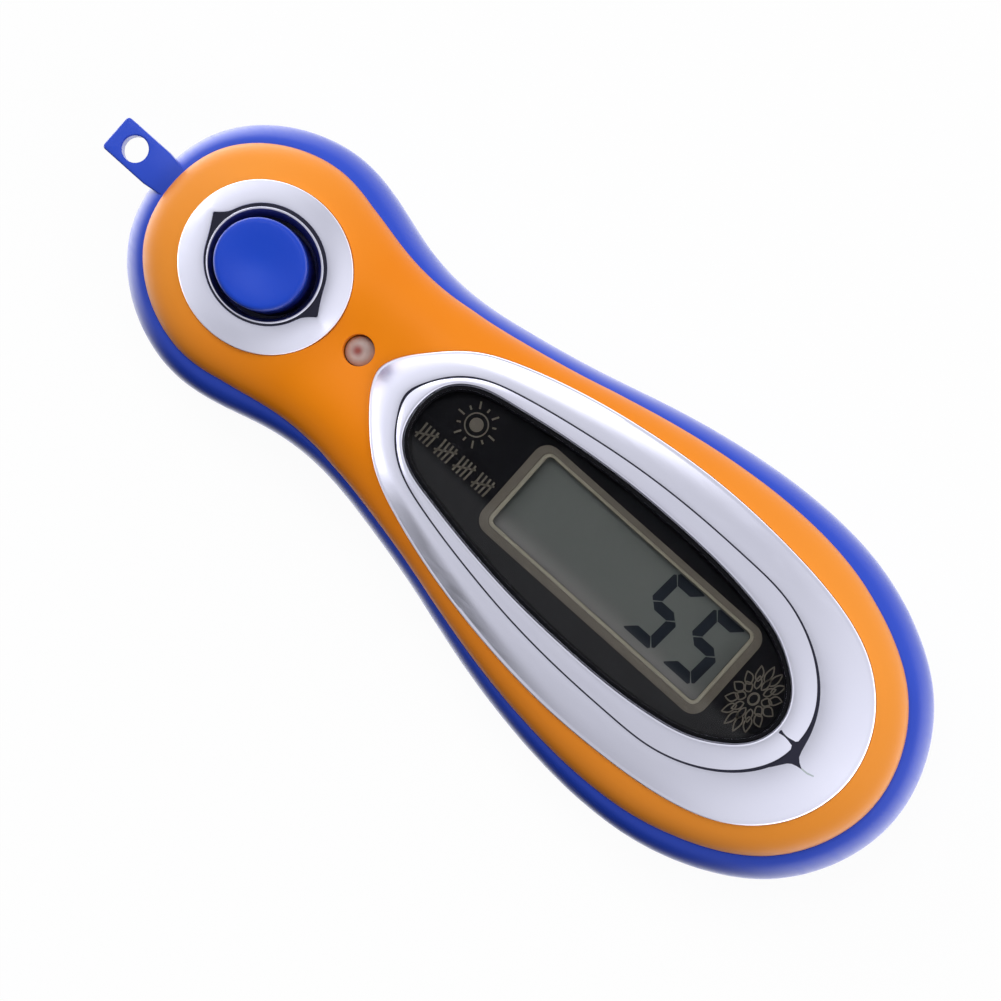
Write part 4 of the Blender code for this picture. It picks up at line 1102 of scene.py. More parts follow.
@dataclass
class FrontShell:
    """The orange upper moulding: a dome with a hollow neck, open under the ring and the bezel."""

    plan: Plan
    seam_gap: float = 0.12 * MM
    seam_lap: float = 1.0 * MM
    seam_edge: float = 0.1 * MM
    dome_start: float = 3.0
    dome_end: float = 40.0
    dome_step: float = 2.6
    edge: float = 0.05 * MM
    pocket_gap: float = 0.02 * MM
    pocket_shelf: float = 1.2 * MM
    button_hole: float = 4.55 * MM
    button_hole_z: float = 11.9 * MM
    light_hole: float = 1.4 * MM
    light_hole_z: float = 12.3 * MM
    spacing: float = 0.42 * MM
    # The paler colour towards both ends is painted sheen
    pale: tuple[int, int, int] = (240, 148, 50)
    sheen_head_start: float = 3 * MM
    sheen_head_end: float = 7 * MM
    sheen_tail_start: float = 12 * MM
    sheen_tail_end: float = 10 * MM

    def build(self) -> None:
        """Builds the moulding."""
        plan, skin = self.plan, Skin()
        flat_z = plan.seam_z + self.seam_gap
        dome = [skin.ring(inset(plan.seam, amount), flat_z) for amount in (self.seam_lap, self.seam_edge)]
        for angle in np.radians(np.arange(self.dome_start, self.dome_end, self.dome_step)):
            loop = inset(plan.seam, plan.crown_reach * (1 - math.cos(angle)))
            dome.append(skin.ring(loop, plan.seam_z + plan.crown_rise * math.sin(angle) - plan.dish(loop)))
        skin.bridge(*dome)

        pocket, shelf = inset(plan.bezel, -self.pocket_gap), inset(plan.bezel, self.pocket_shelf)
        well = plan.ring_oval(plan.ring_radius + self.pocket_gap, 160)
        hole, hole_z = plan.ring_oval(self.button_hole, 160), self.button_hole_z
        light = circle(self.light_hole, plan.led_x, count=64)
        mouths = [
            self.opening(skin, pocket, 1, (pocket, plan.bezel_floor_z), (shelf, plan.bezel_floor_z)),
            self.opening(skin, well, 1, (well, plan.ring_floor_z), (hole, plan.ring_floor_z), (hole, hole_z)),
            self.opening(skin, light, 5, (light, self.light_hole_z)),
        ]
        skin.region(dome[-1], mouths, plan.crown, self.spacing)
        finish = self.finish().make()
        publish("front_shell_moulding", skin, finish, ["front_shell"])

    def finish(self) -> ShadedAlong:
        """Gives the orange, a little paler towards both ends: painted sheen, standing in for the soft light
        that the head and the tail reflect.

        Returns:
            The finish, which changes outwards from places near the light.
        """
        light, head, tail = self.plan.led_x, self.plan.head_x, self.plan.tail_x
        headwards = (light - self.sheen_head_start, head + self.sheen_head_end)
        tailwards = (light + self.sheen_tail_start, tail - self.sheen_tail_end)
        # Painted sheen: the orange pales out towards the head and the tail
        base = ShadedAlong(ORANGE, Axis.X, *headwards, self.pale)
        return ShadedAlong(base, Axis.X, *tailwards, self.pale)

    def opening(self, skin: Skin, mouth: Loop, steps: int, *walls: tuple[Loop, float]) -> list[int]:
        """Adds an opening in the dome, with its rounded edge and its walls.

        Args:
            skin: The surface that it belongs to.
            mouth: The opening's outline.
            steps: How many steps the rounding takes.
            walls: The loops that its walls pass on the way down, each with its height.

        Returns:
            The ring where it meets the dome.
        """
        edge = []
        for angle in np.linspace(0, math.pi / 2, steps + 1):
            moved = inset(mouth, -self.edge * (1 - math.sin(angle)))
            edge.append(skin.ring(moved, self.plan.crown(moved) - self.edge * (1 - math.cos(angle))))
        skin.bridge(*edge)
        skin.bridge(edge[-1], *[skin.ring(loop, height) for loop, height in walls])
        return edge[0]


@dataclass(frozen=True)
class Well:
    """A round opening in the flat back, wide at its mouth and narrower inside.

    Args:
        x: Where its axis lies along X.
        y: Where its axis lies along Y.
        radius: The radius of its wide part.
        step_z: How high its wide part reaches.
        bore: The radius of its narrow part.
        depth: How high its narrow part reaches.
        count: How many points its rings have.
        chamfer: The size of the chamfer round its mouth.
    """

    x: float
    y: float
    radius: float
    step_z: float
    bore: float
    depth: float
    count: int = 48
    chamfer: float = 0.15 * MM

    def cut(self, skin: Skin) -> list[int]:
        """Adds its walls to a surface.

        Args:
            skin: The surface.

        Returns:
            The ring where it meets the back.
        """
        profile = [(self.radius + self.chamfer, 0.0), (self.radius, self.chamfer), (self.radius, self.step_z)]
        profile += [(self.bore, self.step_z), (self.bore, self.depth)]
        return skin.turn(self.x, self.y, profile, count=self.count)[0]


@dataclass
class RearShell:
    """The blue lower moulding, with its rim, the lanyard tab and the openings in its back."""

    plan: Plan
    foot: float = 3.9 * MM
    rim_angle: float = 72.0
    lap_gap: float = 0.06 * MM
    lap_width: float = 0.85 * MM
    lap_depth: float = 1.2 * MM
    spacing: float = 1.6 * MM
    lug_top: float = 10.55 * MM
    lug_thickness: float = 1.6 * MM
    lug_width: float = 3.55 * MM
    lug_shoulder: float = 0.5 * MM
    lug_root_width: float = 2.9 * MM
    lug_root_reach: float = 2.35 * MM
    lug_corner: float = 0.35 * MM
    lug_edge: float = 0.22 * MM
    lug_hole: float = 1.2 * MM
    lug_hole_setback: float = 2.4 * MM
    lug_hole_chamfer: float = 0.12 * MM

    def build(self) -> None:
        """Builds the moulding and its tab."""
        plan, skin, rings = self.plan, Skin(), []
        for angle in np.radians(np.linspace(0, 90, 15)):
            loop = inset(plan.body, self.foot * (1 - math.sin(angle)))
            rings.append(skin.ring(loop, plan.equator_z * (1 - math.cos(angle))))
        top = math.radians(self.rim_angle)
        for angle in np.linspace(0, top, 12)[1:]:
            drawn_in = plan.rim * (1 - math.cos(angle)) / (1 - math.cos(top))
            height = plan.equator_z + (plan.seam_z - plan.equator_z) * math.sin(angle) / math.sin(top)
            rings.append(skin.ring(inset(plan.body, drawn_in), height))
        skin.bridge(*rings)
        lap = [skin.ring(inset(plan.seam, amount), plan.seam_z) for amount in (self.lap_gap, self.lap_width)]
        lap.append(skin.ring(inset(plan.seam, self.lap_width), plan.seam_z - self.lap_depth))
        skin.bridge(rings[-1], *lap)
        skin.region(rings[0], [well.cut(skin) for well in self.wells()], 0.0, self.spacing)
        self.tab(skin)
        publish("rear_shell_moulding", skin, BLUE.make(), ["rear_shell"])

    def wells(self) -> list[Well]:
        """Gives the openings in the flat back.

        Returns:
            The door's recess, the screws' wells and the reset button's hole.
        """
        plan = self.plan
        wells = [
            Well(plan.cell_x, 0.0, 12.05 * MM, step_z=0.92 * MM, bore=11.0 * MM, depth=1.5 * MM, count=128),
        ]
        for x, y in Fasteners.places(plan):
            wells.append(Well(x, y, 1.75 * MM, step_z=2.5 * MM, bore=1.1 * MM, depth=7.0 * MM))
        wells.append(Well(plan.reset_x, 0.0, 1.5 * MM, step_z=0.7 * MM, bore=1.5 * MM, depth=1.5 * MM))
        return wells

    def tab_outline(self) -> Loop:
        """Gives the tab's plan, which narrows where it crosses the rim.

        Returns:
            The points, anticlockwise.
        """
        head, half, corner = self.plan.head_x, self.lug_width / 2, self.lug_corner
        tip = head - self.plan.lug_reach
        upper = [(head + self.lug_root_reach, self.lug_root_width / 2), (head, half)]
        upper.append((head - self.lug_shoulder, half))
        for angle in np.radians(np.linspace(0, 90, 7)):
            upper.append((tip + corner * (1 - math.sin(angle)), half - corner * (1 - math.cos(angle))))
        return np.array(upper + [(x, -y) for x, y in reversed(upper)])

    def tab(self, skin: Skin) -> None:
        """Adds the lanyard tab, with its round hole.

        Args:
            skin: The surface that it belongs to.
        """
        low, high, soft = self.lug_top - self.lug_thickness, self.lug_top, self.lug_edge
        profile = [*arc((soft, low + soft), soft, 270, 180, 4), *arc((soft, high - soft), soft, 180, 90, 4)]
        rings = skin.sweep(self.tab_outline(), profile)
        radius, c = self.lug_hole, self.lug_hole_chamfer
        bore = [(radius + c, low), (radius, low + c), (radius, high - c), (radius + c, high)]
        x = self.plan.head_x - self.plan.lug_reach + self.lug_hole_setback
        hole = skin.turn(x, 0.0, bore, count=48)
        skin.region(rings[0], [hole[0]], low)
        skin.region(rings[-1], [hole[-1]], high)


@dataclass
class PushCap:
    """The count button's cap in the head, with its soft edge and shallow finger dish."""

    plan: Plan
    radius: float = 3.9 * MM
    top: float = 17.2 * MM
    edge: float = 0.42 * MM
    dish: float = 0.25 * MM
    dish_margin: float = 0.12 * MM
    wall_z: float = 14.0 * MM
    flange: float = 5.3 * MM
    flange_low: float = 10.85 * MM
    flange_high: float = 11.6 * MM
    under_radius: float = 3.0 * MM
    under_z: float = 10.9 * MM
    stud_radius: float = 1.5 * MM
    stud_z: float = 10.55 * MM
    # The colour and the depths of the painted shade down the cap's side
    shade: tuple[int, int, int] = (9, 22, 96)
    shade_start: float = 0.5 * MM
    shade_end: float = 1.6 * MM

    def build(self) -> None:
        """Builds the cap, with painted shade darkening its side towards the gap round it."""
        skin, edge = Skin(), self.edge
        profile = [(0.0, self.stud_z), (self.stud_radius, self.stud_z), (self.stud_radius, self.under_z)]
        profile += [(self.under_radius, self.under_z), (self.flange, self.flange_low)]
        profile += [(self.flange, self.flange_high), (self.radius, self.flange_high)]
        profile.append((self.radius, self.wall_z))
        profile += arc((self.radius - edge, self.top - edge), edge, 0, 90, 8)
        rim = self.radius - edge - self.dish_margin
        for share in np.linspace(0, 1, 14)[:-1]:
            profile.append((rim * (1 - share), self.top - self.dish * float(smooth(share))))
        profile.append((0.0, self.top - self.dish))
        skin.turn(self.plan.button_x, 0.0, profile, self.plan.oval, 128)
        # Painted shade: the side turns dark blue further down, where the gap lies in shadow
        start, end = self.top - self.shade_start, self.top - self.shade_end
        finish = ShadedAlong(CAP_BLUE, Axis.Z, start, end, self.shade).make()
        publish("count_button_cap", skin, finish, ["count_button"], Body.COUNT_BUTTON)


@dataclass
class ContactDome:
    """The silicone dome under the cap."""

    plan: Plan
    foot_z: float = 8.63 * MM
    foot_inner: float = 2.85 * MM
    foot_outer: float = 4.4 * MM
    foot_thickness: float = 0.6 * MM
    skirt: float = 3.3 * MM
    pill_z: float = 9.68 * MM
    pill_radius: float = 1.1 * MM
    pill_height: float = 0.22 * MM
    roof_inner: float = 1.45 * MM
    roof_outer: float = 1.9 * MM
    roof_thickness: float = 0.45 * MM
    top: float = 10.45 * MM
    left: float = 0.45

    def build(self) -> None:
        """Builds the dome."""
        skin, pill_top, foot_top = Skin(), self.pill_z + self.pill_height, self.foot_z + self.foot_thickness
        profile = [(0.0, self.pill_z), (self.pill_radius, self.pill_z), (self.pill_radius, pill_top)]
        profile += [(self.roof_inner, pill_top), (self.foot_inner, self.foot_z)]
        profile += [(self.foot_outer, self.foot_z), (self.foot_outer, foot_top), (self.skirt, foot_top)]
        profile.append((self.roof_outer, self.pill_z + self.roof_thickness))
        profile += [(self.roof_outer, self.top), (0.0, self.top)]
        skin.turn(self.plan.button_x, 0.0, profile, count=64)
        finish = SILICONE.make()
        piece = publish("button_dome_soft", skin, finish, ["button_dome"])
        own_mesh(piece)


@dataclass
class ButtonRing:
    """The bright ring round the button, with a dark ribbon in a groove that ends in two points; the ribbon is
    painted shade and dark reflection of the groove.
    """

    plan: Plan
    base_rise: float = 0.1 * MM
    wall_z: float = 14.0 * MM
    edge: float = 0.16 * MM
    lip_z: float = 14.95 * MM
    bore: float = 4.3 * MM
    bore_drop: float = 0.85 * MM
    groove_outer: float = 5.15 * MM
    groove_inner: float = 4.89 * MM
    groove_depth: float = 0.3 * MM
    groove_drop: float = 0.06 * MM
    groove_edge: float = 0.03 * MM
    groove_shift: float = 0.12 * MM
    groove_swell: float = 0.08 * MM
    tip_reach: float = 0.84 * MM
    tip_angle: float = 29.0
    tip_behind: float = 0.62
    tip_power: float = 2.4
    tip_turn: float = -4.0
    line_gap: float = 0.01 * MM
    line_drop: float = 0.1 * MM
    count: int = 240

    def build(self) -> None:
        """Builds the ring and the line."""
        self.ring()
        self.line()

    def pointed(self, radius: float, reach: float) -> Loop:
        """Gives a loop that is drawn out into a point at its head and tail ends.

        Args:
            radius: The loop's radius.
            reach: How far the points stand out.

        Returns:
            The points, anticlockwise.
        """
        angle = np.arange(self.count) * 2 * math.pi / self.count
        from_tip = angle - math.radians(self.tip_turn)
        ahead = np.degrees(np.arcsin(np.clip(np.sin(from_tip) * np.sign(np.cos(from_tip)), -1.0, 1.0)))
        spread = np.where(ahead > 0, self.tip_angle, self.tip_angle * self.tip_behind)
        drawn = radius + reach * np.clip(1 - np.abs(ahead) / spread, 0.0, 1.0) ** self.tip_power
        x = self.plan.button_x + self.plan.oval * drawn * np.cos(angle)
        return np.column_stack([x, drawn * np.sin(angle) + self.groove_shift + self.groove_swell])

    def ring(self) -> None:
        """Builds the ring."""
        skin, plan, outside = Skin(), self.plan, self.plan.ring_radius
        floor, groove_z = plan.ring_floor_z + self.base_rise, self.lip_z - self.groove_depth
        side = [(outside, floor), (outside, self.wall_z)]
        side += arc((outside - self.edge, self.wall_z), self.edge, 10, 70, 4)
        rings = [skin.ring(plan.ring_oval(radius, self.count), height) for radius, height in side]
        edge = self.pointed(self.groove_outer + self.groove_edge, self.tip_reach)
        start, start_z = plan.ring_oval(side[-1][0], self.count), side[-1][1]
        end_z = self.lip_z - self.groove_drop
        rings += skin.climb(start, edge, start_z, end_z - start_z, np.linspace(0, 1, 14)[1:])
        wall = self.pointed(self.groove_outer, self.tip_reach)
        rings.append(skin.ring(wall, end_z - self.groove_edge))
        rings.append(skin.ring(wall, groove_z))
        # The lip between the groove and the bore, and how much of the groove's shift each ring follows
        for radius, height, shift in (
            (self.groove_inner, groove_z, 1.0),
            (self.groove_inner, self.lip_z - 0.04 * MM, 1.0),
            (self.groove_inner - 0.04 * MM, self.lip_z, 1.0),
            (self.groove_inner - 0.15 * MM, self.lip_z, 0.8),
            (self.groove_inner - 0.22 * MM, self.lip_z - 0.07 * MM, 0.7),
            (self.bore, self.lip_z - self.bore_drop, 0.0),
            (self.bore, floor, 0.0),
        ):
            loop = plan.ring_oval(radius, self.count) + (0.0, shift * self.groove_shift)
            rings.append(skin.ring(loop, height))
        skin.bridge(*rings)
        publish("button_ring_plated", skin, PLATING.make(), ["button_ring"])

    def line(self) -> None:
        """Builds the dark ribbon in the groove, painted shade and dark reflection."""
        skin, gap = Skin(), self.line_gap
        outer = self.pointed(self.groove_outer - gap, self.tip_reach - gap)
        inner = self.plan.ring_oval(self.groove_inner + gap, self.count) + (0.0, self.groove_shift)
        skin.band(outer, inner, self.lip_z - self.groove_depth + gap, self.lip_z - self.line_drop)
        publish("button_ring_groove_shade", skin, GROOVE_SHADE.make())


@dataclass
class NeckLight:
    """The light between the button and the bezel."""

    plan: Plan
    base_z: float = 8.7 * MM
    flange: float = 1.9 * MM
    flange_thickness: float = 0.5 * MM
    radius: float = 1.45 * MM
    wall_z: float = 11.3 * MM
    neck_z: float = 11.5 * MM
    dome_radius: float = 1.36 * MM
    dome_rise: float = 0.55 * MM
    top: float = 12.75 * MM
    element: tuple[float, float, float] = (-0.15 * MM, -0.1 * MM, 12.6 * MM)

    def build(self) -> None:
        """Builds the body, whose low dome fills the hole in the neck."""
        skin, x = Skin(), self.plan.led_x
        flange_top, shoulder = self.base_z + self.flange_thickness, self.top - self.dome_rise
        profile = [(0.0, self.base_z), (self.flange, self.base_z), (self.flange, flange_top)]
        profile += [(self.radius, flange_top), (self.radius, self.wall_z), (self.dome_radius, self.neck_z)]
        for angle in np.radians(np.linspace(0, 86, 13)):
            profile.append((self.dome_radius * math.cos(angle), shoulder + self.dome_rise * math.sin(angle)))
        profile.append((0.0, self.top))
        skin.turn(x, 0.0, profile, count=64)
        finish = Glow(LIGHT, (x + self.element[0], *self.element[1:])).make()
        publish("led_body_domed", skin, finish, ["led_body"])


@dataclass
class WindowBezel:
    """The bright teardrop frame, with a dark ribbon in its crease and a dark star at its tail, both painted
    shade and dark reflection of the groove.
    """

    plan: Plan
    base_rise: float = 0.1 * MM
    edge_rise: float = 0.28 * MM
    edge_round: float = 0.22 * MM
    crease_z: float = 15.35 * MM
    crest_rise: float = 0.4 * MM
    inner_rings: int = 12
    lip: float = 0.15 * MM
    lip_shelf: float = 0.8 * MM
    groove_depth: float = 0.3 * MM
    line_half: float = 0.07 * MM
    line_fill: float = 0.97
    line_gap: float = 0.01 * MM
    line_drop: float = 0.07 * MM
    mark_lift: float = 0.012 * MM
    mark_spacing: float = 0.12 * MM
    overhead: float = 30 * MM
    star: tuple[tuple[float, float], ...] = (
        (-0.36, 2.1), (-0.1, 1.75), (0.03, 1.45), (0.14, 1.15), (0.23, 0.8), (0.33, 0.35), (0.46, -0.25),
        (0.64, -0.78), (0.98, -1.12), (1.5, -1.42), (0.98, -1.5), (0.54, -1.63), (0.24, -1.86),
        (0.0, -2.18), (-0.26, -2.55), (-0.58, -3.0), (-0.86, -3.3), (-0.6, -2.6), (-0.36, -2.0),
        (-0.28, -1.4), (-0.3, -0.8), (-0.5, -0.44), (-2.0, -0.39), (-2.06, -0.22), (-2.0, -0.05),
        (-0.46, -0.02), (-0.26, 0.2), (-0.18, 0.7), (-0.2, 1.3),
    )
    streak: tuple[tuple[float, float], ...] = (
        (1.42, -1.33), (2.0, -1.3), (2.6, -1.14), (2.66, -1.24), (2.1, -1.44), (1.44, -1.46),
    )

    def build(self) -> None:
        """Builds the frame, the line and the marks at its tail."""
        crease, half = self.plan.crease, self.line_width()
        groove_z = self.crease_z - self.groove_depth
        outer, inner = inset(crease, -half), inset(crease, half)
        skin = Skin()
        rings = self.outer_band(skin, outer)
        rings += [skin.ring(outer, groove_z), skin.ring(inner, groove_z)]
        rings += self.inner_band(skin, inner)
        skin.bridge(*rings)
        publish("window_bezel_plated", skin, PLATING.make(), ["window_bezel"])

        # The dark ribbon in the crease is painted shade and dark reflection of the groove
        line, width = Skin(), half * self.line_fill
        low, high = groove_z + self.line_gap, self.crease_z - self.line_drop
        line.band(inset(crease, -width), inset(crease, width), low, high)
        publish("crease_groove_shade", line, GROOVE_SHADE.make())
        self.marks(outer, inner)

    def line_width(self) -> np.ndarray:
        """Gives half the line's width all round, wider at both ends.

        Returns:
            One half width for each point of the crease.
        """
        steps = np.linalg.norm(np.roll(self.plan.crease, -1, axis=0) - self.plan.crease, axis=1)
        run = np.concatenate([[0.0], np.cumsum(steps)[:-1]])
        tail = np.minimum(run, steps.sum() - run)
        head = np.abs(run - steps.sum() / 2)
        wider = np.zeros(len(run))
        for away, swelling, reach in ((tail, 0.13, 1.7 * MM), (tail, 0.10, 8 * MM), (head, 0.06, 1.6 * MM)):
            wider += swelling * np.exp(-((away / reach) ** 2))
        return self.line_half + wider * MM

    def outer_band(self, skin: Skin, end: Loop) -> list[list[int]]:
        """Adds the band from the frame's outer edge up to the crease.

        Args:
            skin: The surface that it belongs to.
            end: The crease's outer side.

        Returns:
            The rings, in order.
        """
        bezel = self.plan.bezel
        edge_z = self.plan.crown(bezel) + self.edge_rise
        rings = [skin.ring(bezel, self.plan.bezel_floor_z + self.base_rise), skin.ring(bezel, edge_z)]
        for angle in np.radians((30, 60, 90)):
            loop = inset(bezel, self.edge_round * (1 - math.cos(angle)))
            rings.append(skin.ring(loop, edge_z + self.edge_round * math.sin(angle)))
        start, start_z = inset(bezel, self.edge_round), edge_z + self.edge_round
        rings += skin.climb(start, end, start_z, self.crease_z - start_z, np.linspace(0, 1, 19)[1:])
        return rings

    def inner_band(self, skin: Skin, start: Loop) -> list[list[int]]:
        """Adds the band from the crease to the window, and the wall round the lens.

        Args:
            skin: The surface that it belongs to.
            start: The crease's inner side.

        Returns:
            The rings, in order.
        """
        plan, crest = self.plan, self.crease_z + self.crest_rise
        end, shares = inset(plan.window, -self.lip), np.linspace(0, 1, self.inner_rings)
        rings = skin.climb(start, end, self.crease_z, self.crest_rise, shares)
        for angle in np.radians((30, 60, 90)):
            loop = inset(plan.window, -self.lip * (1 - math.sin(angle)))
            rings.append(skin.ring(loop, crest - self.lip * (1 - math.cos(angle))))
        rings.append(skin.ring(plan.window, plan.ledge_z))
        rings.append(skin.ring(inset(plan.window, self.lip_shelf), plan.ledge_z))
        return rings

    def marks(self, outer: Loop, inner: Loop) -> None:
        """Builds the dark star of painted shade where the crease crosses the tail end, and the pale streak
        beside it.

        Args:
            outer: The crease's outer side.
            inner: The crease's inner side.
        """
        under = Skin()
        bands = self.outer_band(under, outer), self.inner_band(under, inner)[: self.inner_rings]
        under.bridge(*bands[0], *bands[1])
        surface = BVHTree.FromPolygons([Vector(p) for p in under.points], under.faces)

        def above(points: np.ndarray) -> np.ndarray:
            """Gives the height just above the frame at these places."""
            hits = [surface.ray_cast(Vector((x, y, self.overhead)), Vector((0, 0, -1)))[0] for x, y in points]
            return np.array([(hit.z if hit else self.crease_z) + self.mark_lift for hit in hits])

        tail = float(self.plan.crease[:, 0].max())
        for name, shape, finish in (
            ("crease_star_shade", self.star, GROOVE_SHADE),
            ("crease_streak_mark", self.streak, PALE_LINE),
        ):
            outline = np.array([(tail + a * MM, b * MM) for a, b in reversed(shape)])
            skin = Skin()
            skin.region(skin.ring(outline, above(outline)), [], above, self.mark_spacing)
            publish(name, skin, finish.make())


@dataclass
class Window:
    """The clear lens with its dark border, the black print under it and the frame on that print."""

    plan: Plan
    fit: float = 0.1 * MM
    lens_thickness: float = 1.2 * MM
    lens_edge: float = 0.03 * MM
    border: float = 0.35 * MM
    border_step: float = 0.5 * MM
    border_low: float = 0.48 * MM
    bead_radius: float = 0.27 * MM
    bead_inset: float = 0.28 * MM
    bead_drop: float = 0.34 * MM
    bead_gap: float = 0.02 * MM
    mask_z: float = 14.3 * MM
    mask_thickness: float = 0.15 * MM
    view_centre: tuple[float, float] = (14.325 * MM, 0.46 * MM)
    view_length: float = 23.1 * MM
    view_width: float = 7.5 * MM
    view_corner: float = 0.45 * MM
    frame_centre: tuple[float, float] = (14.29 * MM, 0.34 * MM)
    frame_length: float = 25.5 * MM
    frame_width: float = 9.5 * MM
    frame_corner: float = 1.4 * MM

    def build(self) -> None:
        """Builds the lens, its border, the print, the frame and the marks."""
        self.lens()
        self.bead()
        self.mask()
        self.frame()
        PrintedMarks(self.mask_z).build()

    def view(self) -> Loop:
        """Gives the outline of the opening that shows the display."""
        return rounded_rectangle(self.view_length, self.view_width, self.view_corner, self.view_centre)

    def lens(self) -> None:
        """Builds the lens, whose upper edge is cut back for the border."""
        skin, top, inner = Skin(), self.plan.window_z, self.fit + self.border
        low, step = top - self.lens_thickness, top - self.border_step
        profile = [(self.fit, low), (self.fit, step), (inner, step)]
        profile += [(inner, top - self.lens_edge), (inner + self.lens_edge, top)]
        rings = skin.sweep(self.plan.window, profile)
        skin.region(rings[0], [], low)
        skin.region(rings[-1], [], top)
        publish("window_lens_clear", skin, ClearPlastic().make(), ["window_lens"])

    def bead(self) -> None:
        """Builds the dark border, as a round bead in the lens's cut edge."""
        skin, top = Skin(), self.plan.window_z
        low = top - self.border_low
        profile = [(self.fit, low)]
        profile += arc((self.fit + self.bead_inset, top - self.bead_drop), self.bead_radius, 165, 15, 6)
        profile.append((self.fit + self.border - self.bead_gap, low))
        skin.sweep(self.plan.window, profile, closed=True)
        publish("window_border", skin, BORDER.make())

    def mask(self) -> None:
        """Builds the black print, open over the display."""
        skin, top = Skin(), self.mask_z
        low = top - self.mask_thickness
        rings = skin.sweep(self.plan.window, [(self.fit, low), (self.fit, top)])
        walls = [skin.ring(self.view(), top), skin.ring(self.view(), low)]
        skin.bridge(*walls)
        skin.region(rings[1], [walls[0]], top)
        skin.region(rings[0], [walls[1]], low)
        publish("window_mask_print", skin, PRINT.make(), ["window_mask"])

    def frame(self) -> None:
        """Builds the bronze frame round the display, with its bevelled edges; the raised inner bevel takes a
        lighter copy of the bronze, a painted highlight.
        """
        outer = rounded_rectangle(self.frame_length, self.frame_width, self.frame_corner, self.frame_centre)
        inner = self.view()
        # Each step is a share of the way in to the opening and a lift off the print, in millimetres
        for name, steps, finish in (
            ("display_frame_print", ((0.0, 0.0), (0.05, 0.03), (0.64, 0.04), (0.66, 0.0)), BRONZE),
            ("display_frame_bevel_highlight", ((0.67, 0.0), (0.69, 0.06), (0.9, 0.06), (0.97, 0.0)), BRONZE_HIGHLIGHT),
        ):
            skin = Skin()
            rings = [skin.ring(blend(outer, inner, share), self.mask_z + lift * MM) for share, lift in steps]
            skin.bridge(*rings, rings[0])
            publish(name, skin, finish.make())


@dataclass(frozen=True)
class PetalRow:
    """One row of petals round the rosette's middle.

    Args:
        count: How many petals it has.
        low: Where each petal starts, from the middle.
        high: Where it ends.
        half: Half its width.
        phase: How far the row is turned, as a share of the step between petals.
    """

    count: int
    low: float
    high: float
    half: float
    phase: float

    def petals(self) -> list[Loop]:
        """Gives the outlines of its petals.

        Returns:
            One loop for each petal, about a middle at 0.
        """
        u = np.linspace(0, 1, 13)
        side = np.column_stack([self.low + (self.high - self.low) * u, self.half * np.sin(math.pi * u**0.8)])
        petal = np.vstack([side, side[-2:0:-1] * (1, -1)])
        return [petal @ turned((i + self.phase) * 2 * math.pi / self.count).T for i in range(self.count)]


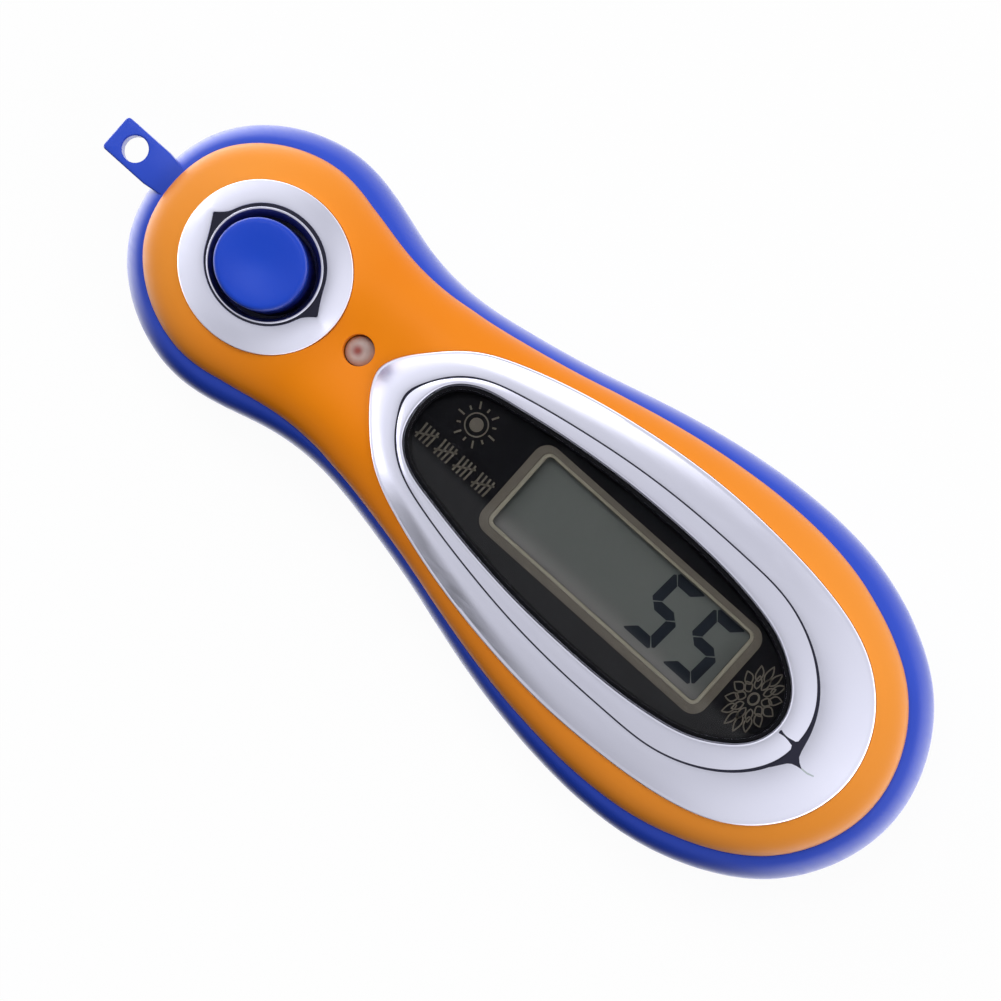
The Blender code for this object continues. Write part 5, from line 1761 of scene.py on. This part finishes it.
@dataclass
class PrintedMarks:
    """The bronze marks on the print: a sunburst, a row of tally strokes and a rosette of petals."""

    print_z: float
    lift: float = 0.03 * MM
    sun_centre: tuple[float, float] = (-3.7 * MM, 2.0 * MM)
    sun_disc: float = 0.62 * MM
    sun_circle: float = 1.02 * MM
    sun_circle_line: float = 0.13 * MM
    ray_start: float = 1.38 * MM
    ray_ends: tuple[float, float] = (2.05 * MM, 1.75 * MM)
    ray_line: float = 0.17 * MM
    rays: int = 12
    tally_x: float = -7.0 * MM
    tally_pitch: float = 2.15 * MM
    bar_pitch: float = 0.43 * MM
    bar_line: float = 0.19 * MM
    bar: tuple[tuple[float, float], ...] = (
        (0.0, -2.25 * MM), (0.05 * MM, -1.45 * MM), (0.02 * MM, -0.65 * MM),
    )
    slash: tuple[tuple[float, float], ...] = ((-0.25 * MM, -1.95 * MM), (1.55 * MM, -0.95 * MM))
    slash_line: float = 0.17 * MM
    rosette_centre: tuple[float, float] = (29.55 * MM, 0.3 * MM)
    rosette_stretch: tuple[float, float] = (0.66, 1.0)
    petal_rows: tuple[PetalRow, ...] = (
        PetalRow(14, low=1.75 * MM, high=3.3 * MM, half=0.42 * MM, phase=0.0),
        PetalRow(10, low=1.0 * MM, high=2.3 * MM, half=0.38 * MM, phase=0.5),
    )
    petal_line: float = 0.13 * MM
    hub_radius: float = 0.52 * MM
    hub_oval: float = 0.8
    hub_line: float = 0.19 * MM

    def build(self) -> None:
        """Builds the three marks."""
        for name, mark in (
            ("print_sunburst", self.sunburst()),
            ("print_tally_marks", self.tally()),
            ("print_rosette", self.rosette()),
        ):
            publish(name, mark, BRONZE.make())

    def stroke(self, skin: Skin, line: np.ndarray, width: float, closed: bool = False) -> None:
        """Adds a flat line of even width on the print.

        Args:
            skin: The surface that it belongs to.
            line: The line's middle, as x and y.
            width: The line's width.
            closed: Whether its end meets its start.
        """
        if closed:
            along = np.roll(line, -1, axis=0) - np.roll(line, 1, axis=0)
        else:
            along = np.gradient(line, axis=0)
        along = along / np.linalg.norm(along, axis=1)[:, None]
        across = np.column_stack([-along[:, 1], along[:, 0]]) * width / 2
        z = self.print_z + self.lift
        left, right = skin.ring(line + across, z), skin.ring(line - across, z)
        for i in range(len(line) if closed else len(line) - 1):
            j = (i + 1) % len(line)
            skin.faces.append((left[i], right[i], right[j], left[j]))

    def sunburst(self) -> Skin:
        """Draws a disc in a circle, with rays that are long and short in turn.

        Returns:
            The drawn mark.
        """
        skin, (x, y) = Skin(), self.sun_centre
        level = self.print_z + self.lift
        skin.turn(x, y, [(0.0, level), (self.sun_disc, level)], count=40)
        self.stroke(skin, circle(self.sun_circle, x, y, 48), self.sun_circle_line, closed=True)
        for i in range(self.rays):
            angle = i * 2 * math.pi / self.rays
            along = np.linspace(self.ray_start, self.ray_ends[i % 2], 3)
            ray = np.outer(along, (math.cos(angle), math.sin(angle))) + self.sun_centre
            self.stroke(skin, ray, self.ray_line)
        return skin

    def tally(self) -> Skin:
        """Draws four groups of four bars, each group crossed by a slash.

        Returns:
            The drawn mark.
        """
        skin = Skin()
        for group in range(4):
            start = (self.tally_x + group * self.tally_pitch, 0.0)
            for bar in range(4):
                self.stroke(skin, np.array(self.bar) + start + (bar * self.bar_pitch, 0.0), self.bar_line)
            self.stroke(skin, np.linspace(*np.array(self.slash), 5) + start, self.slash_line)
        return skin

    def rosette(self) -> Skin:
        """Draws two rows of petals round a small oval.

        Returns:
            The drawn mark.
        """
        skin = Skin()
        for row in self.petal_rows:
            for petal in row.petals():
                placed = petal * self.rosette_stretch + self.rosette_centre
                self.stroke(skin, placed, self.petal_line, closed=True)
        hub = circle(self.hub_radius, count=32, oval=self.hub_oval) + self.rosette_centre
        self.stroke(skin, hub, self.hub_line, closed=True)
        return skin


@dataclass
class Display:
    """The display's face, with two lit digits on it."""

    plan: Plan
    top: float = 13.35 * MM
    face_drop: float = 0.02 * MM
    face_corner: float = 0.1 * MM
    spacing: float = 0.8 * MM
    # The face's paler band towards -Y is painted light
    pale: tuple[int, int, int] = (69, 68, 66)
    painted_light_start: float = -1.6 * MM
    painted_light_end: float = -2.9 * MM
    digit_drop: float = 0.005 * MM
    digit_height: float = 6.65 * MM
    digit_width: float = 3.3 * MM
    stroke: float = 0.95 * MM
    gap: float = 0.08 * MM
    corner: float = 0.42 * MM
    slant: float = 3.5
    centre_y: float = 0.77 * MM
    centres: tuple[float, ...] = (18.85 * MM, 23.4 * MM)

    def build(self) -> None:
        """Builds the face and the digits."""
        low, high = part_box("display_front_film")
        face, middle = Skin(), ((low.x + high.x) / 2, (low.y + high.y) / 2)
        loop = rounded_rectangle(high.x - low.x, high.y - low.y, self.face_corner, middle)
        face_z = self.top - self.face_drop
        rings = [face.ring(loop, low.z), face.ring(loop, face_z)]
        face.bridge(*rings)
        face.region(rings[0], [], float(low.z))
        face.region(rings[1], [], face_z, self.spacing)
        # Painted light: the face pales towards -Y
        finish = ShadedAlong(DISPLAY_FACE, Axis.Y, self.painted_light_start, self.painted_light_end, self.pale).make()
        publish("display_face", face, finish, ["display_front_film"])
        digits, lean = Skin(), math.tan(math.radians(self.slant))
        for centre in self.centres:
            for x, y in (segment.T for segment in self.five()):
                points = np.column_stack([centre + x + y * lean, self.centre_y + y])
                digits.faces.append(tuple(digits.ring(points, self.top - self.digit_drop)))
        publish("display_digits", digits, DIGIT.make())

    def five(self) -> list[np.ndarray]:
        """Gives the lit segments of a digit 5, upright and about a middle at 0.

        Returns:
            The outlines of the top, upper left, middle, lower right and bottom segments.
        """
        w, h, s, g, k = self.digit_width / 2, self.digit_height / 2, self.stroke, self.gap, self.corner
        m, n = s / 2, k / 2
        # The outer corners are cut off at 45 degrees, as on a worn etching
        top = [(-w + k, h), (w - n, h), (w - n / 2, h - n / 2), (w - s, h - s), (-w + s, h - s)]
        top.append((-w + n + g, h - n))
        left = [(-w + n, h - n - g), (-w + s, h - s - g), (-w + s, m + g), (-w + m * 0.6, g * 0.9)]
        left += [(-w, m * 0.7), (-w, h - k)]
        middle = [(-w + m * 0.7 + g, 0), (-w + s + g * 0.3, m), (w - s - g * 0.3, m), (w - m * 0.7 - g, 0)]
        middle += [(w - s - g * 0.3, -m), (-w + s + g * 0.3, -m)]
        return [np.array(top), np.array(left), np.array(middle), -np.array(left), -np.array(top)]


@dataclass
class BatteryDoor:
    """The round door in the back, with a coin slot and two rows of grip marks."""

    plan: Plan
    radius: float = 11.9 * MM
    low: float = 0.15 * MM
    high: float = 0.85 * MM
    edge: float = 0.15 * MM
    collar_outer: float = 10.85 * MM
    collar_inner: float = 10.15 * MM
    collar_z: float = 2.75 * MM
    slot_length: float = 12.0 * MM
    slot_width: float = 1.6 * MM
    slot_corner: float = 0.79 * MM
    slot_depth: float = 0.4 * MM
    slot_chamfer: float = 0.1 * MM
    grip_circle: float = 9.6 * MM
    grip_pitch: float = 9.0
    dimple: tuple[tuple[float, float], ...] = ((0.42 * MM, 0.0), (0.36 * MM, 0.12 * MM), (0.0, 0.2 * MM))
    spacing: float = 1.2 * MM

    def build(self) -> None:
        """Builds the door with its collar."""
        skin, x, edge = Skin(), self.plan.cell_x, self.edge
        profile = [*arc((self.radius - edge, self.low + edge), edge, 270, 360, 4), (self.radius, self.high)]
        profile += [(self.collar_outer, self.high), (self.collar_outer, self.collar_z)]
        profile += [(self.collar_inner, self.collar_z), (self.collar_inner, self.high), (0.0, self.high)]
        outer = skin.turn(x, 0.0, profile, count=144)[0]
        mouths = [self.slot(skin), *self.grips(skin)]
        skin.region(outer, mouths, self.low, self.spacing)
        publish("battery_door_moulding", skin, BLUE.make(), ["battery_door"], Body.BATTERY_DOOR)

    def slot(self, skin: Skin) -> list[int]:
        """Adds the coin slot.

        Args:
            skin: The surface that it belongs to.

        Returns:
            The ring where it meets the door's face.
        """
        slot = rounded_rectangle(self.slot_width, self.slot_length, self.slot_corner, (self.plan.cell_x, 0.0))
        mouth = skin.ring(inset(slot, -self.slot_chamfer), self.low)
        wall = skin.ring(slot, self.low + self.slot_chamfer)
        floor = skin.ring(slot, self.low + self.slot_depth)
        skin.bridge(mouth, wall, floor)
        skin.region(floor, [], self.low + self.slot_depth)
        return mouth

    def grips(self, skin: Skin) -> list[list[int]]:
        """Adds the grip marks, as seven dimples on each side.

        Args:
            skin: The surface that they belong to.

        Returns:
            The rings where they meet the door's face.
        """
        profile, mouths = [(radius, self.low + depth) for radius, depth in self.dimple], []
        centre_x, away = self.plan.cell_x, self.grip_circle
        for middle in (180, 0):
            for step in range(-3, 4):
                angle = math.radians(middle + step * self.grip_pitch)
                x, y = centre_x + away * math.cos(angle), away * math.sin(angle)
                mouths.append(skin.turn(x, y, profile, count=20)[0])
        return mouths


@dataclass
class Fasteners:
    """The four case screws, heads down in their wells."""

    plan: Plan
    head_radius: float = 1.5 * MM
    head_low: float = 1.2 * MM
    head_high: float = 2.4 * MM
    head_edge: float = 0.3 * MM
    shank: float = 0.85 * MM
    tip: float = 11.2 * MM
    thread_root: float = 0.82
    thread_start: float = 0.35 * MM
    thread_pitch: float = 0.82 * MM
    thread_rise: float = 0.28 * MM
    thread_turns: int = 10
    cross_arm: float = 0.95 * MM
    cross_half: float = 0.19 * MM
    cross_depth: float = 0.7 * MM
    cross_taper: float = 0.6

    @staticmethod
    def places(plan: Plan) -> tuple[tuple[float, float], ...]:
        """Gives the screws' axes.

        Args:
            plan: The counter's plan.

        Returns:
            The x and y of each screw: the head's, the tail's and the two in the neck.
        """
        head, tail, neck = plan.head_x + 5.7 * MM, plan.tail_x - 6.8 * MM, plan.head_x + 30.3 * MM
        beside = 4.7 * MM
        return ((head, 0.0), (tail, 0.0), (neck, beside), (neck, -beside))

    def build(self) -> None:
        """Builds the screws."""
        names = ("head", "tail", "neck_left", "neck_right")
        finish, edge = STEEL.make(), self.head_edge
        profile = arc((self.head_radius - edge, self.head_low + edge), edge, 270, 360, 4)
        profile += [(self.head_radius, self.head_high), (self.shank, self.head_high), *self.thread()]
        profile += [(self.shank / 3, self.tip), (0.0, self.tip)]
        floor_z = self.head_low + self.cross_depth
        for name, place in zip(names, self.places(self.plan)):
            skin = Skin()
            outer = skin.turn(*place, profile, count=40)[0]
            mouth = skin.ring(self.cross() + place, self.head_low)
            floor = skin.ring(self.cross() * self.cross_taper + place, floor_z)
            skin.bridge(mouth, floor)
            skin.region(floor, [], floor_z)
            skin.region(outer, [mouth], self.head_low)
            node = "case_screw_" + name
            publish(node + "_plated", skin, finish, [node])

    def thread(self) -> list[tuple[float, float]]:
        """Gives the profile of the shank's thread, drawn as rings.

        Returns:
            Pairs of a radius and a height.
        """
        profile, root, rise = [], self.shank * self.thread_root, self.thread_rise
        for step in range(self.thread_turns):
            height = self.head_high + self.thread_start + step * self.thread_pitch
            profile += [(root, height), (self.shank, height + rise), (root, height + 2 * rise)]
        return profile

    def cross(self) -> Loop:
        """Gives the outline of the cross recess, about a middle at 0.

        Returns:
            The points, anticlockwise.
        """
        arm, half = self.cross_arm, self.cross_half
        fillet = half * 1.6
        quarter = np.array(((arm, -half), (arm, half), (fillet, half), (half, fillet)))
        return np.vstack([quarter @ turned(i * math.pi / 2).T for i in range(4)])


@dataclass
class ResetControl:
    """The small reset button in the back."""

    plan: Plan
    radius: float = 1.4 * MM
    edge: float = 0.25 * MM
    edge_z: float = 0.5 * MM
    face: tuple[tuple[float, float], ...] = ((0.0, 0.62 * MM), (0.5 * MM, 0.58 * MM), (0.95 * MM, 0.5 * MM))
    flange: float = 2.1 * MM
    flange_low: float = 1.6 * MM
    flange_high: float = 2.3 * MM
    stem: float = 0.9 * MM
    stem_top: float = 5.2 * MM

    def build(self) -> None:
        """Builds the button."""
        skin, edge = Skin(), self.edge
        profile = [*self.face, *arc((self.radius - edge, self.edge_z + edge), edge, 270, 360, 5)]
        profile += [(self.radius, self.flange_low), (self.flange, self.flange_low)]
        profile += [(self.flange, self.flange_high), (self.stem, self.flange_high)]
        profile += [(self.stem, self.stem_top), (0.0, self.stem_top)]
        skin.turn(self.plan.reset_x, 0.0, profile, count=48)
        finish = CAP_BLUE.make()
        publish("reset_button_moulding", skin, finish, ["reset_button"], Body.RESET_BUTTON)


@dataclass
class Inside:
    """The parts in the case, which keep their solids and get a finish each."""

    nodes: dict[str, bpy.types.Object]
    finishes: tuple[tuple[Finish, tuple[str, ...]], ...] = (
        (STEEL, ("led_lead_anode", "led_lead_cathode", "coin_cell")),
        (STEEL, ("cell_leaf_contact", "cell_clip_contact")),
        (GLASS, ("display_front_glass", "display_rear_glass")),
        (MIRROR, ("display_reflector",)),
        (WHITE, ("display_tray",)),
        (RUBBER, ("connector_strip",)),
        (LAMINATE, ("circuit_board",)),
        (EPOXY, ("counter_chip",)),
        (DARK, ("reset_switch", "reset_plunger")),
    )

    def dress(self) -> None:
        """Gives each part its finish."""
        for finish, names in self.finishes:
            material = finish.make()
            for name in names:
                mesh = self.nodes[name].data
                mesh.materials.clear()
                mesh.materials.append(material)
                mesh.shade_smooth()
                mesh.set_sharp_from_angle(angle=SHARP_ANGLE)
                LOG.info("%s: keeps its solid", name)


# The studio


@dataclass(frozen=True)
class Lamp:
    """A soft round lamp that points at the counter.

    Args:
        name: Its name.
        place: Where it hangs.
        size: Its width.
        power: Its power, in watts.
        aim: Where it points.
    """

    name: str
    place: tuple[float, float, float]
    size: float
    power: float
    aim: tuple[float, float, float] = (0.0, 0.0, 0.01)

    def build(self) -> None:
        """Puts the lamp into the scene."""
        data = bpy.data.lights.new(self.name, "AREA")
        data.shape = "DISK"
        data.size = self.size
        data.energy = self.power
        lamp = bpy.data.objects.new(self.name, data)
        lamp.location = self.place
        lamp.visible_glossy = False
        lamp.rotation_mode = "QUATERNION"
        lamp.rotation_quaternion = (Vector(self.aim) - Vector(self.place)).to_track_quat("-Z", "Y")
        bpy.context.scene.collection.objects.link(lamp)


@dataclass
class Sky:
    """The world: plain for light, white to the camera, and shaded where glossy surfaces look up."""

    colour: tuple[float, float, float, float] = (0.97, 0.97, 1.0, 1.0)

    def build(self) -> None:
        """Makes the world."""
        world = bpy.data.worlds.new("studio")
        bpy.context.scene.world = world
        world.use_nodes = True
        wiring = Wiring(world.node_tree)
        x, y, z = wiring.add("SeparateXYZ", {0: wiring.place("Generated")}).outputs
        path = wiring.add("LightPath").outputs
        seen = self.reflected(wiring, x, y, z)
        light = wiring.ease(y, -0.45, 0.7, 0.04, 0.60)
        lit = wiring.mix(path["Is Glossy Ray"], light, seen, Mixed.NUMBER)
        strength = wiring.mix(path["Is Camera Ray"], lit, 1.0, Mixed.NUMBER)
        wiring.feed(world.node_tree.nodes["Background"], {"Color": self.colour, "Strength": strength})

    def reflected(self, wiring: Wiring, x: Wire, y: Wire, z: Wire) -> Wire:
        """Shades what glossy surfaces reflect.

        Args:
            wiring: The world's wiring.
            x: How far the way that is looked points along X.
            y: How far along Y.
            z: How far up.

        Returns:
            How bright it is that way.
        """
        height = wiring.maths(Sum.MAXIMUM, z, 0.02)
        over_x, over_y = wiring.maths(Sum.DIVIDE, x, height), wiring.maths(Sum.DIVIDE, y, height)
        # The room above the counter: dark where the camera hangs, with the edge of a pale card beside it
        from_x = wiring.maths(Sum.ABSOLUTE, wiring.maths(Sum.ADD, over_x, 0.085))
        from_y = wiring.maths(Sum.ABSOLUTE, wiring.maths(Sum.ADD, over_y, 0.012))
        clear_x = wiring.ease(from_x, 0.10, 0.14, 1.0, 0.0)
        clear_y = wiring.ease(from_y, 0.060, 0.085, 1.0, 0.0)
        overhead = wiring.ease(z, 0.5, 0.7, 0.0, 1.0)
        hidden = wiring.maths(Sum.MULTIPLY, wiring.maths(Sum.MULTIPLY, clear_x, clear_y), overhead)
        card = wiring.ease(over_y, -0.0405, -0.0375, 0.22, 0.0)
        # The room round it: paler towards both ends, dim low down on the -Y side
        high = wiring.total(
            wiring.ease(y, -0.8, 0.1, 0.60, 0.70),
            wiring.ease(x, 0.0, 0.6, 0.0, 0.33),
            wiring.ease(x, 0.7, 0.98, 0.0, 0.5),
            wiring.ease(x, -0.6, -0.08, 0.32, 0.0),
            wiring.ease(x, -0.98, -0.7, 0.25, 0.0),
        )
        aside = wiring.maths(Sum.MULTIPLY, wiring.maths(Sum.ABSOLUTE, x), 0.5)
        low = wiring.total(
            wiring.ease(wiring.maths(Sum.ADD, y, aside), -0.8, -0.2, 0.0, 1.9),
            wiring.ease(x, -0.9, -0.3, 3.0, 0.0),
            wiring.ease(x, 0.3, 0.9, 0.0, 1.9),
        )
        around = wiring.mix(wiring.ease(z, -0.15, 0.22, 1.0, 0.0), high, low, Mixed.NUMBER)
        return wiring.mix(hidden, around, card, Mixed.NUMBER)


@dataclass
class Studio:
    """The pale floor, the soft lamps, the sky that the plating reflects and the camera."""

    floor_radius: float = 1.6
    floor_drop: float = 0.02 * MM
    paper: tuple[float, float, float, float] = (0.80, 0.80, 0.81, 1.0)
    whiteness: float = 0.96
    lamps: tuple[Lamp, ...] = (
        Lamp("key lamp", (-0.22, 0.25, 0.92), size=0.55, power=4.1),
        Lamp("tail lamp", (0.75, 0.10, 0.55), size=0.45, power=2.8),
        Lamp("head lamp", (-0.75, 0.20, 0.55), size=0.45, power=2.5),
    )
    camera_place: tuple[float, float, float] = (0.04548, 0.01307, 0.41205)
    camera_aim: tuple[float, float, float] = (0.00132, -0.00174, 0.0070)
    roll: float = 41.55
    lens: float = 168.33
    sensor: float = 36.0

    def build(self) -> None:
        """Sets up the whole studio."""
        self.floor()
        Sky().build()
        for lamp in self.lamps:
            lamp.build()
        self.camera()
        bpy.context.scene.view_settings.view_transform = "Standard"

    def floor(self) -> None:
        """Makes the floor, which stays near white and keeps the counter's shadow."""
        skin = Skin()
        skin.faces.append(tuple(skin.ring(circle(self.floor_radius, count=64), 0.0)))
        material, wiring = Wiring.new_material("floor paper")
        look = {"Base Color": self.paper, "Roughness": 0.9, "Specular IOR Level": 0.0}
        wiring.feed(wiring.shader, look)
        path = wiring.add("LightPath").outputs
        seen = wiring.maths(Sum.MAXIMUM, path["Is Camera Ray"], path["Is Transmission Ray"])
        white = wiring.add("Emission", {"Color": (1.0, 1.0, 1.0, 1.0)})
        wiring.surface(wiring.maths(Sum.MULTIPLY, seen, self.whiteness), wiring.shader, white)
        mesh = skin.mesh("floor")
        mesh.materials.append(material)
        floor = bpy.data.objects.new("floor", mesh)
        floor.location.z = -self.floor_drop
        floor.visible_glossy = False
        floor.visible_diffuse = False
        bpy.context.scene.collection.objects.link(floor)

    def camera(self) -> None:
        """Makes the camera that the photograph was taken with."""
        data = bpy.data.cameras.new("camera")
        data.lens = self.lens
        data.sensor_width = self.sensor
        data.clip_start = 0.01
        data.clip_end = 10.0
        camera = bpy.data.objects.new("camera", data)
        back = (Vector(self.camera_place) - Vector(self.camera_aim)).normalized()
        across = Vector((math.cos(math.radians(self.roll)), math.sin(math.radians(self.roll)), 0.0))
        across = (across - back * across.dot(back)).normalized()
        up = back.cross(across)
        turn = Matrix((across, up, back)).transposed().to_4x4()
        camera.matrix_world = Matrix.Translation(self.camera_place) @ turn
        bpy.context.scene.collection.objects.link(camera)
        bpy.context.scene.camera = camera


def main() -> None:
    """Builds the counter's looks piece by piece, then the studio round it."""
    logging.basicConfig(level=logging.INFO, format="%(name)s: %(message)s")
    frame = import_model()
    plan = Plan()
    FrontShell(plan).build()
    RearShell(plan).build()
    PushCap(plan).build()
    ContactDome(plan).build()
    ButtonRing(plan).build()
    NeckLight(plan).build()
    WindowBezel(plan).build()
    Window(plan).build()
    Display(plan).build()
    BatteryDoor(plan).build()
    Fasteners(plan).build()
    ResetControl(plan).build()
    Inside(frame["nodes"]).dress()
    Studio().build()


if __name__ == "__main__":
    main()
